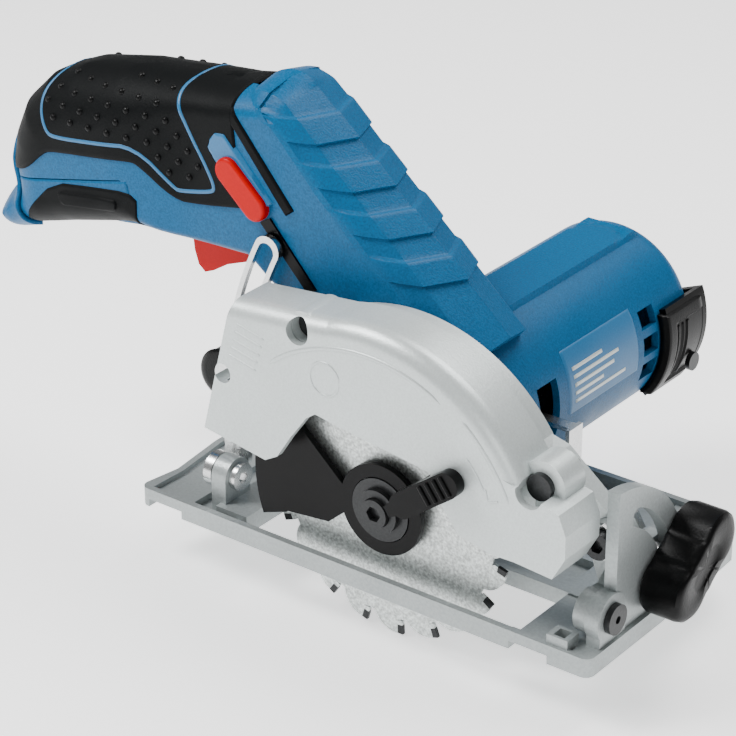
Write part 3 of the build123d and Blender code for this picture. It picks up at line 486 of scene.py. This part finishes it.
STUD_STEP = (7.4, 4.1)
STUD_MIDDLE = (-114, 110)
STUD_RADIUS = 1.15
STUD_HEIGHT = 0.85
STRIPE_GAP = 2.4
TOP_GAP = 0.8
AROUND = 12
ri, ci = np.meshgrid(np.arange(-6, 8), np.arange(-6, 8), indexing="ij")
stud_x = STUD_MIDDLE[0] + (ci + 0.5 * (ri % 2)) * STUD_STEP[0] - ri * 0.2
stud_z = STUD_MIDDLE[1] + ri * STUD_STEP[1] + (stud_x - STUD_MIDDLE[0]) * 0.02
stud_at = np.stack([stud_x.ravel(), stud_z.ravel()], -1)
stud_at = stud_at[inside_loop(stud_at, side_line) & (distance(stud_at, side_line) > STRIPE_GAP)
                  & (distance(stud_at, TOP_LINE) > TOP_GAP)]
turn = np.linspace(0, 2 * math.pi, AROUND + 1)[:-1]
rise = np.linspace(0, math.pi / 2, 5)
dome = np.stack([np.outer(np.cos(rise), np.cos(turn)), np.outer(np.cos(rise), np.sin(turn)),
                 np.outer(np.sin(rise), np.ones(AROUND))], -1)
dome = dome * [STUD_RADIUS, STUD_RADIUS, STUD_HEIGHT]
stud_points = []
for side in (-1, 1):
    out = outward(stud_at, side)
    middle = np.stack([stud_at[:, 0], side * half_width(stud_at), stud_at[:, 1]], -1)
    middle += out * (RUBBER - 0.1)
    e1 = np.cross(out, [0, 0, 1.0])
    e1 /= np.linalg.norm(e1, axis=1, keepdims=True)
    e2 = np.cross(out, e1)
    shape = (middle[:, None, None] + dome[None, ..., :1] * e1[:, None, None]
             + dome[None, ..., 1:2] * e2[:, None, None] + dome[None, ..., 2:] * out[:, None, None])
    stud_points.append(shape.reshape(-1, 3))
stud_points = np.concatenate(stud_points)
stud_faces = copies(cells(len(rise), AROUND, wrap_cols=True), 2 * len(stud_at),
                    len(rise) * AROUND)
store("grip_studs", stud_points, stud_faces, hard_black, "saw", angle=80)

# %% [markdown]
# ## Battery pack
# The pack slides into the handle from behind. Outside it shows a long shoe with a dark inset
# on each side, and the end of the handle, which closes the bay. All of it rides on the battery
# body, so when the pack slides out, the end of the grip goes with it.

# %% End cap of the pack
cap_pairs = np.array([((-160.3, 99.4), in_pack(BACK_U + 0.15, 0)), ((-162, 90), in_pack(53, 0)),
                      ((-162, 84), in_pack(57, 0)), ((-162, 80), (-163.5, 63.6)),
                      ((-166.2, 74.6), (-168, 63)), ((-170.4, 69.2), (-170.3, 64.7)),
                      ((-172.5, 66.5), (-172.4, 66.4))])
cap_grid = column_grid(cap_pairs, 34, 40, 1.3)
for name, side in (("pack_cap_near", -1), ("pack_cap_far", 1)):
    sheet = lay(cap_grid, side)
    thicken(store(name, sheet, cells(*sheet.shape[:2]), body_blue, "battery"),
            1.6)

rear_upper = [(-160.35, 99.2), (-160.9, 97), (-161.6, 93.5), (-162, 90), (-162, 85.4), (-162, 81)]
rear_lower = [(-158.4, 85.6), (-159.4, 83.4), (-160.6, 81.6), (-161.4, 80.4), (-161.9, 79.6)]
rear_grid = pad_grid(rear_upper, rear_lower, 24, 20, crowd=1.5, edge=0.02)
rear_sheet = both_sides(rear_grid, edge_lift(rear_grid, 1.0, borders="b"))
cap_rubber = store("pack_cap_rubber", rear_sheet, cells(*rear_sheet.shape[:2]), grip_black,
                   "battery", angle=60)

# %% Core of the pack, which stands in the handle round the cells
u_at, turn_at = np.meshgrid(np.linspace(0.8, BACK_U - 2, 30), np.linspace(0, 2 * math.pi, 65)[:-1],
                            indexing="ij")
swell = ease(u_at, 0.6, 3.0) ** 0.5 * (1 - 0.2 * ease(u_at, 38, BACK_U - 2))
co, si = np.cos(turn_at), np.sin(turn_at)
core_y = 13.1 * swell * np.sign(co) * np.abs(co) ** 0.45
core_v = 20.5 + 13.2 * swell * np.sign(si) * np.abs(si) ** 0.45
core_x, core_z = in_pack(u_at, core_v)
core = np.stack([core_x, core_y, core_z], -1)
core = np.concatenate([core[:1] * 0 + core[0].mean(0), core, core[-1:] * 0 + core[-1].mean(0)])
store("pack_core", core, cells(*core.shape[:2], wrap_cols=True), hard_black, "battery")

# %% Shoe of the pack with its dark insets
shoe_pairs = np.array([(in_pack(u, 16.9), in_pack(u, 0.05)) for u in np.linspace(0.2, BACK_U, 12)])
shoe_grid = column_grid(shoe_pairs, 50, 20, 1.0)
for name, side in (("pack_shoe_near", -1), ("pack_shoe_far", 1)):
    sheet = lay(shoe_grid, side)
    shoe = store(name, sheet, cells(*sheet.shape[:2]), body_blue, "battery")
    thicken(shoe, 1.4)
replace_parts(cap_rubber, "battery_case")

inset_upper = [(-152.6, 71.6), (-149.4, 76.4), (-138, 88), (-122, 90.6), (-107.6, 92.4), (-104, 90)]
inset_lower = [(-150.6, 68.6), (-146, 69.8), (-138, 71.7), (-122, 75.6), (-108, 79.2), (-104, 80.5)]
inset_grid = pad_grid(rounded(inset_upper, 1), rounded(inset_lower, 1), 60, 24, 1.0, 0.015)
button_upper = [(-136, 84.5), (-134.5, 86), (-118, 88.2), (-112.5, 88.6), (-111.3, 87.3)]
button_lower = [(-134.6, 82.4), (-133, 81.2), (-118, 83.6), (-113, 84.4), (-111.6, 85.6)]
for name, side in (("inset_near", -1), ("inset_far", 1)):
    sheet = lay(inset_grid, side, edge_lift(inset_grid, 0.5, borders="brlt"))
    store("pack_" + name, sheet, cells(*sheet.shape[:2]), grip_black, "battery",
          angle=60)
for name, side in (("latch_near", -1), ("latch_far", 1)):
    grid = pad_grid(button_upper, button_lower, 30, 10, 1.0, 0.03)
    sheet = lay(grid, side, edge_lift(grid, 1.1, low=0.2, run=0.6, borders="brlt"))
    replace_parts(store(name + "_pad", sheet, cells(*sheet.shape[:2]), grip_black, name,
                      angle=60), name)

# %% [markdown]
# ## Stepped cover
# The cover over the nose is the saw's most visible shape: five overlapping steps, like tiles,
# with a lip under each of the upper four, on a ridge of three flat facets. Across, a section
# runs from the near edge up two facets to the crest and down the far side. Along, the steps
# follow level lines, so the tile relief is a function of height alone: under each lip the
# surface sits back, then a short ramp brings it out again.

# %% Cover
cover_pairs = np.array([
    (-68.0, 128.6, -67.6, 130.4, 5.5), (-66.8, 127.9, -65.2, 134.2, 9.6),
    (-65.0, 127.2, -62.2, 136.4, 12.2), (-62, 126.9, -58.6, 137.6, 14.0),
    (-58, 126.8, -54.4, 137.9, 15.0),
    (-53.5, 125.5, -49.5, 136.4, 15.2), (-49, 121.5, -41.5, 129.8, 15.3),
    (-38, 109.8, -29, 119.2, 15.3), (-25.5, 98.6, -16, 108, 15.3),
    (-13.5, 87.8, -3.5, 97.4, 15.3), (-4.5, 79.5, 6.5, 88.4, 15.3), (6, 70, 17, 79.2, 15.3),
    (12, 64.5, 22, 74.8, 15.3)])
LIPS = np.array([122.5, 111.0, 99.8, 88.6])
STEP_IN = 0.95
across_y = np.array([-1, -0.985, -0.93, -0.80, -0.76, -0.70, 0.0, 0.04, 0.10, 0.74, 0.80,
                     0.84, 0.95, 0.985, 1])
across_h = np.array([0, 0.16, 0.34, 0.60, 0.66, 0.69, 0.985, 1.0, 0.985, 0.80, 0.76,
                     0.66, 0.34, 0.16, 0])
place = np.concatenate([[0], np.cumsum(np.hypot(np.diff(cover_pairs[:, 0]),
                                                np.diff(cover_pairs[:, 1])))])
s = np.linspace(0, place[-1], 900)
bx, bz, kx, kz, wide = [np.interp(s, place, cover_pairs[:, k]) for k in range(5)]
soft = np.hanning(41) / np.hanning(41).sum()
kx, kz = [np.convolve(np.pad(k, 20, mode="edge"), soft, "valid") for k in (kx, kz)]
t = np.unique(np.concatenate([across_y, np.linspace(-1, 1, 41)]))
h = np.interp(t, across_y, across_h)
raw = np.stack([bx[:, None] + (kx - bx)[:, None] * h, wide[:, None] * t,
                bz[:, None] + (kz - bz)[:, None] * h], -1)


def level_rows(sheet, levels):
    """Moves each column's points to shared heights, so that rows are level lines."""
    top = sheet[:, :, 2].argmax(0)
    done = np.empty((len(levels), sheet.shape[1], 3))
    for k, start in enumerate(top):
        tail = sheet[start:, k]
        fall = np.minimum.accumulate(tail[:, 2] - np.arange(len(tail)) * 1e-7)
        low, high = fall[-1], fall[0]
        want = np.clip(levels, low, high)
        for c in range(3):
            done[:, k, c] = np.interp(-want, -fall, tail[:, c])
    return done


COVER_TOP = 138.2
COVER_END = 62.0
levels = [np.linspace(COVER_TOP, LIPS[0] + 0.3, 34)]
for k, lip in enumerate(LIPS):
    end = LIPS[k + 1] if k + 1 < len(LIPS) else COVER_END
    levels.append(lip + np.array([0.02, -0.02, -0.25]))
    levels.append(np.linspace(lip - 1, lip - 4.6, 4))
    levels.append(np.linspace(lip - 4.8, lip - 6.0, 5))
    levels.append(np.linspace(lip - 6.6, end + 0.4, 8 if k + 1 < len(LIPS) else 24))
levels = np.concatenate(levels)
crest = raw[:, len(t) // 2, 2].argmax()
head = raw[:crest:6]
slope_rows = level_rows(raw, levels)
flat_out = np.cross(np.gradient(slope_rows, axis=0) + [1e-6, 0, -1e-6],
                    np.gradient(slope_rows, axis=1))
flat_out /= np.linalg.norm(flat_out, axis=-1, keepdims=True) + 1e-9
flat_out = np.where(flat_out[..., :1] + flat_out[..., 2:] < 0, -flat_out, flat_out)
relief = np.zeros(levels.shape)
for lip in LIPS:
    below = lip - levels
    ramp = ease(below, 4.6, 6.0) if lip > LIPS[-1] else 0.0
    relief -= STEP_IN * ease(below, -0.02, 0.02) * (1 - ramp)
relief -= STEP_IN * 0.8 * ease(levels, 128.4, 129.6) * ease(137.5 - levels, 0, 3)
fade = ease((1 - np.abs(t)) * NOSE_HALF, 0.0, 1.0)
cover = np.concatenate([head, slope_rows + flat_out * (relief[:, None] * fade)[..., None]])
end_row = cover[-1].copy()
end_row[:, 0] = bx[-1]
end_row[:, 2] = np.minimum(end_row[:, 2], bz[-1])
cover = np.concatenate([cover, end_row[None]])
ribbed = store("ribbed_cover_skin", cover, cells(*cover.shape[:2]), body_blue, "saw",
               angle=22)
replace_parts(ribbed, "ribbed_cover")

# %% [markdown]
# ## Trim beside the cover
# A black band follows the cover's edge down from the rubber. Behind it sits the lock-off slider
# on a small coloured pad, and below it the depth scale on its black strip.

# %% Band and pad


def pad(name, upper, lower, high, made, body, low=-0.3, sides=(-1, 1), cols=40):
    """Raised pads with rounded borders on one or both sides of the body."""
    grid = pad_grid(upper, lower, cols, 12, 1.0, 0.03)
    for side in sides:
        sheet = lay(grid, side, edge_lift(grid, high, low, 0.6))
        end = "_near" if side < 0 else "_far"
        store(name + end, sheet, cells(*sheet.shape[:2]), made, body, angle=60)


pad("edge_band", [(-68, 128.5), (-64.5, 124.5), (-44.6, 101.4)],
    [(-70, 126), (-68, 122.6), (-48, 98.8)], 0.7, grip_black, "saw", cols=60)
pad("slider_pad", [(-75.6, 116.8), (-73.5, 119.6), (-70, 120.2), (-52.5, 101.6)],
    [(-77, 114), (-74.5, 110.5), (-70, 106), (-56.6, 98.6)], 1.0, stripe_blue, "saw",
    low=-0.2, sides=(-1,))

# %% [markdown]
# ## Wing knobs
# Both clamps have a knob with a hub and two wings, moulded in black. Its outline is a radius
# that swells twice per turn, and its height falls off towards the rim like a pebble's, with a
# hollow in the middle of each side for the fingers.

# %% Knobs


def wing_knob(name, node, centre, axis, wing, length, body, reach):
    """r(angle) = wings as a smooth double lobe; z(ring) = flat top with a rolled rim."""
    axis, wing = np.array(axis, float), np.array(wing, float)
    third = np.cross(axis, wing)
    a = np.linspace(0, 2 * math.pi, 129)[:-1]
    lobe = 7.6 + reach * np.abs(np.cos(a)) ** 2.4 - 1.3 * np.exp(-((np.abs(np.cos(a)) - 0.62)
                                                                 / 0.16) ** 2)
    rings = np.array([(0.0, 0.0), (0.80, 0.0), (0.90, 0.25), (0.965, 0.9), (1.0, 2.2),
                      (1.0, 0.5 * length), (1.0, length - 2.6), (0.97, length - 1.1),
                      (0.90, length - 0.25), (0.80, length), (0.45, length), (0.40, length - .5),
                      (0.0, length - 0.5)])
    flat = rings[:, :1] * lobe[None]
    pinch = 1 - 0.10 * np.sin(a * 2) ** 2 * ((rings[:, 1:] > 2) & (rings[:, 1:] < length - 2))
    flat = flat * pinch
    points = (np.array(centre, float) + (flat * np.cos(a))[..., None] * wing
              + (flat * np.sin(a))[..., None] * third + rings[:, 1][:, None, None] * axis)
    knob = store(name, points, cells(*points.shape[:2], wrap_cols=True), hard_black, body,
                 angle=50)
    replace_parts(knob, node)


BLADE_Y = -28.5
tilt = math.radians(15)
clamp = math.radians(6.8)
bolt_y, bolt_z = 3.2 + 29 * math.cos(tilt), 13.7 + 29 * math.sin(tilt)
wing_knob("bevel_wing_knob", "bevel_knob", (75.0, BLADE_Y + bolt_y, bolt_z), (1, 0, 0),
          (0, 0.8, 0.6), 13.6, "bevel_knob", 10.4)
wing_knob("depth_wing_knob", "depth_knob",
          (64.5 - 131 * math.cos(clamp), BLADE_Y + 12.6, 29.6 + 131 * math.sin(clamp)),
          (0, 1, 0), (-0.848, 0, -0.53), 13.4, "depth_knob", 11.6)

# %% [markdown]
# ## Motor end
# The clip on the motor's end is a thick moulding with a sunk panel and a screw; the label is a
# thin plate bent round the tube, left blank here apart from plain bars; a flat lies along the
# top. All three follow the tube: angle round it and distance along it are the parameters.

# %% Clip, label and flat
MOTOR_X, MOTOR_Z, MOTOR_R = 0.0, 46.0, 27.8
MM_PER_DEGREE = 0.48


def on_tube(deg, y, radius):
    """Point at an angle above the level line, y from the blade plane, at a radius."""
    a = np.radians(deg)
    return np.stack([MOTOR_X + radius * np.cos(a), BLADE_Y + y + 0 * a,
                     MOTOR_Z + radius * np.sin(a)], -1)


def room_in(deg, y, turns, lengths):
    """Millimetres to the nearest border of a patch between two angles and two distances."""
    sideways = np.minimum(deg - turns[0], turns[1] - deg) * MM_PER_DEGREE
    return np.minimum(sideways, np.minimum(y - lengths[0], lengths[1] - y))


CLIP_TURNS, CLIP_LENGTHS = (-40, 20), (100.5, 126.2)
CLIP_ROOT, CLIP_RISE, PANEL_SINK = 27.9, 3.3, 1.2
deg, along_y = np.meshgrid(np.linspace(*CLIP_TURNS, 61), np.linspace(*CLIP_LENGTHS, 45),
                           indexing="ij")
clip_r = CLIP_ROOT + CLIP_RISE * ease(room_in(deg, along_y, CLIP_TURNS, CLIP_LENGTHS), -0.4, 1.5)
panel = room_in(deg, along_y, (-31, 11), (106, 122))
clip_r = clip_r - PANEL_SINK * ease(panel, 0, 0.9)
for rib_y in (107.8, 110.4, 113.0):
    clip_r = clip_r + 0.7 * ease(panel, 0.9, 1.4) * ease(0.8 - np.abs(along_y - rib_y), 0, 0.5)
clip_r = np.where(along_y > 119, clip_r - (along_y - 119) ** 2 * 0.09, clip_r)
sheet = on_tube(deg, along_y, clip_r)
thicken(store("tail_clip_shell", sheet, cells(*sheet.shape[:2]), hard_black, "saw"), 1.2)

PLATE_TURNS, PLATE_LENGTHS = (-9, 34), (51, 89)
deg, along_y = np.meshgrid(np.linspace(*PLATE_TURNS, 40), np.linspace(*PLATE_LENGTHS, 50),
                           indexing="ij")
room = room_in(deg, along_y, PLATE_TURNS, PLATE_LENGTHS)
sheet = on_tube(deg, along_y, MOTOR_R - 0.15 + 0.4 * ease(room, 0, 0.5))
store("type_plate", sheet, cells(*sheet.shape[:2]), stripe_blue, "saw", angle=60)

BAR_START = 54
BAR_LENGTHS = (16, 24, 21, 15, 27)
bars = []
for row, length in enumerate(BAR_LENGTHS):
    deg, along_y = np.meshgrid(np.linspace(0, 2.3, 4) + 19 - 5.2 * row,
                               np.linspace(BAR_START, BAR_START + length, 12), indexing="ij")
    bars.append(on_tube(deg, along_y, MOTOR_R + 0.33))
bar_faces = copies(cells(4, 12), len(bars), 4 * 12)
thicken(store("type_plate_bars", np.stack(bars), bar_faces, cast_light, "saw",
              angle=60), 0.15)

FLAT_HALF, FLAT_START, FLAT_END, ROUND_END = 9.5, 34, 116, 104
across_x, along_y = np.meshgrid(np.linspace(-FLAT_HALF, FLAT_HALF, 21),
                                np.linspace(FLAT_START, FLAT_END, 60), indexing="ij")
tube_z = MOTOR_Z + np.sqrt(MOTOR_R ** 2 - across_x ** 2)
groove = ease(1.2 - np.abs(np.hypot(across_x, along_y - ROUND_END) - 9.2), 0, 0.7)
flat_z = MOTOR_Z + MOTOR_R + 0.25 - 0.55 * groove * (along_y > ROUND_END)
room = np.minimum(FLAT_HALF - np.abs(across_x),
                  np.minimum(along_y - FLAT_START, FLAT_END - along_y))
flat_z = tube_z - 0.2 + (flat_z - tube_z + 0.2) * ease(room, 0, 0.6)
sheet = np.stack([across_x, BLADE_Y + along_y, flat_z], -1)
store("motor_flat", sheet, cells(*sheet.shape[:2]), body_blue, "saw", angle=30)

# %% [markdown]
# ## Relief on the guard and its lever
# A casting is stiffened by beads, and beads are what tells cast metal from a plain plate: one
# runs round inside the rim, short ones lie behind it, and an arrow shows which way the blade
# turns. The lever carries ribs for the finger. Each is a half-round profile carried along a
# path.

# %% Beads
FACE_Y = BLADE_Y - 12.0
SPINDLE_Z = 25.7
BEAD_STEPS = 40
BEAD_ROUND = 7


def bead(name, paths, width, height, made, body, face=FACE_Y):
    """Half-round beads standing off a face that looks to -Y, one per path of (x, z)."""
    out = np.tile([0.0, -1.0, 0.0], (BEAD_STEPS, 1))
    step = np.arange(BEAD_STEPS)
    tip = ease(np.minimum(step, BEAD_STEPS - 1 - step) / (BEAD_STEPS - 1), 0, 0.05)
    parts = []
    for path in paths:
        flat = along(path, BEAD_STEPS)
        line = np.stack([flat[:, 0], np.full(BEAD_STEPS, face), flat[:, 1]], -1)
        part = carry(line, out, width, height, steps=BEAD_ROUND, sink=0.1)
        parts.append(line[:, None] + (part - line[:, None]) * (0.15 + 0.85 * tip)[:, None, None])
    faces = copies(cells(BEAD_STEPS, BEAD_ROUND), len(parts), BEAD_STEPS * BEAD_ROUND)
    store(name, np.concatenate(parts), faces, made, body, angle=60)


def arc(radius, start, end):
    """Arc of (x, z) points about the spindle between two angles above the level line."""
    a = np.radians(np.linspace(start, end, 60))
    return np.stack([radius * np.cos(a), SPINDLE_Z + radius * np.sin(a)], -1)


bead("guard_arc_bead", [arc(52.6, 131, 60), arc(54.2, 52, 24)], 1.5, 0.45, cast_light, "saw")
bead("guard_short_beads", [[(-46.4 - 0.8 * k, 74.6 - 2.7 * k), (-36.0 - 0.8 * k, 72.4 - 2.7 * k)]
                           for k in range(5)], 1.1, 0.4, cast_light, "saw")
bead("guard_badge_ring", [np.array([(-14.2, 66.6)]) + arc(5.2, 0, 360) - [(0, SPINDLE_Z)]], 0.9,
     0.35, cast_light, "saw")
bead("guard_arrow", [arc(47.5, 42, 26), [(46.2, 47.6), (42.7, 46.5)], [(42.7, 46.5), (41.6, 50)]],
     1.0, 0.4, cast_light, "saw")

# %% Ribs on the lever
LEVER_Y = BLADE_Y - 16.6


def across_lever(r, half):
    """Path of (x, z) across the lever at radius r from the spindle."""
    a = math.radians(37)
    x, z = r * math.cos(a), SPINDLE_Z + r * math.sin(a)
    return [(x - half * math.sin(a), z + half * math.cos(a)),
            (x + half * math.sin(a), z - half * math.cos(a))]


bead("lever_ribs", [across_lever(r, 3.3) for r in (30.5, 33.5, 36.5, 39.3)], 1.5, 0.9,
     hard_black, "lower_guard", face=LEVER_Y)
print("lever ribs stand", BLADE_Y - LEVER_Y, "mm from the blade")

# %% [markdown]
# ## Tooth tips
# Saw teeth are tipped with hard metal, brazed on and ground, so each tip is a little wider than the
# blade's body. The tips are coloured near black: partly the hard metal's own tone, which is darker
# than the blade's body, and partly painted shade standing in for the dark gaps between the teeth.

# %% Tips
TEETH = 20
FIRST_TOOTH = -90 + 6.87
TIP_HALF = 0.6
corner = np.array([(39.4, 0.75), (42.54, 0.55), (42.34, -1.45), (39.4, -1.15)])
radial, ahead = np.tile(corner, (2, 1)).T
tip_y = BLADE_Y + np.repeat([-TIP_HALF, TIP_HALF], len(corner))
tips = []
for tooth in range(TEETH):
    a = math.radians(tooth * 360 / TEETH + FIRST_TOOTH)
    tips.append(np.stack([radial * math.cos(a) - ahead * math.sin(a), tip_y,
                          SPINDLE_Z + radial * math.sin(a) + ahead * math.cos(a)], -1))
one_tip = np.array([(0, 1, 2, 3), (7, 6, 5, 4), (0, 4, 5, 1), (1, 5, 6, 2), (2, 6, 7, 3),
                    (3, 7, 4, 0)])
# near-black tips: the hard metal's darker tone plus painted shade of the gaps between teeth
soften(store("tooth_tips", np.concatenate(tips), copies(one_tip, TEETH, len(tip_y)), black_steel,
             "blade_drive", angle=30), 0.12)

# %% [markdown]
# ## Studio
# A pale floor lies just under the blade. A broad soft light hangs above and to the left, another
# above and behind, and a weaker one stands in front, so that no side falls into deep shadow.
# The camera stands in front of the blade side, to the right and above.

# %% Floor, lights and camera
FLOOR_HALF = 4
FLOOR_Z = -0.0172
floor_mesh = bpy.data.meshes.new("floor")
floor_mesh.from_pydata([(x * FLOOR_HALF, y * FLOOR_HALF, FLOOR_Z)
                        for x, y in ((-1, -1), (1, -1), (1, 1), (-1, 1))], [], [(0, 1, 2, 3)])
floor = bpy.data.objects.new("floor", floor_mesh)
bpy.context.scene.collection.objects.link(floor)
paper = bpy.data.materials.new("pale_floor")
paper.use_nodes = True
paper_shader = paper.node_tree.nodes["Principled BSDF"]
paper_shader.inputs["Base Color"].default_value = (0.9, 0.9, 0.9, 1)
paper_shader.inputs["Roughness"].default_value = 0.9
paper_shader.inputs["Emission Color"].default_value = (1, 1, 1, 1)
paper_shader.inputs["Emission Strength"].default_value = 1.0
floor_mesh.materials.append(paper)

world = bpy.data.worlds.new("studio")
bpy.context.scene.world = world
world.use_nodes = True
world.node_tree.nodes["Background"].inputs["Color"].default_value = (1, 1, 1, 1)
world.node_tree.nodes["Background"].inputs["Strength"].default_value = 0.34


def soft_light(name, place, target, size, power):
    """Square area light that faces a target."""
    data = bpy.data.lights.new(name, "AREA")
    data.shape = "SQUARE"
    data.size = size
    data.energy = power
    lamp = bpy.data.objects.new(name, data)
    bpy.context.scene.collection.objects.link(lamp)
    lamp.location = place
    lamp.rotation_euler = (Vector(target) - Vector(place)).to_track_quat("-Z", "Y").to_euler()


soft_light("key", (-0.45, -0.35, 0.7), (-0.03, 0, 0.05), 0.35, 9)
soft_light("front", (0.55, -0.75, 0.35), (0, 0, 0.04), 0.4, 2)
soft_light("top", (0.1, 0.35, 0.8), (0, 0, 0.05), 0.5, 7)

camera = bpy.data.objects.new("camera", bpy.data.cameras.new("camera"))
bpy.context.scene.collection.objects.link(camera)
camera.data.lens = 136.98
camera.data.sensor_width = 36
camera.data.clip_start = 0.01
camera.location = (0.4227, -0.5942, 0.4255)
camera_turn = math.radians(37.269)
camera_dip = math.radians(26.737)
away = Vector((-math.sin(camera_turn) * math.cos(camera_dip),
               math.cos(camera_turn) * math.cos(camera_dip), -math.sin(camera_dip)))
camera.rotation_euler = away.to_track_quat("-Z", "Y").to_euler()
bpy.context.scene.camera = camera
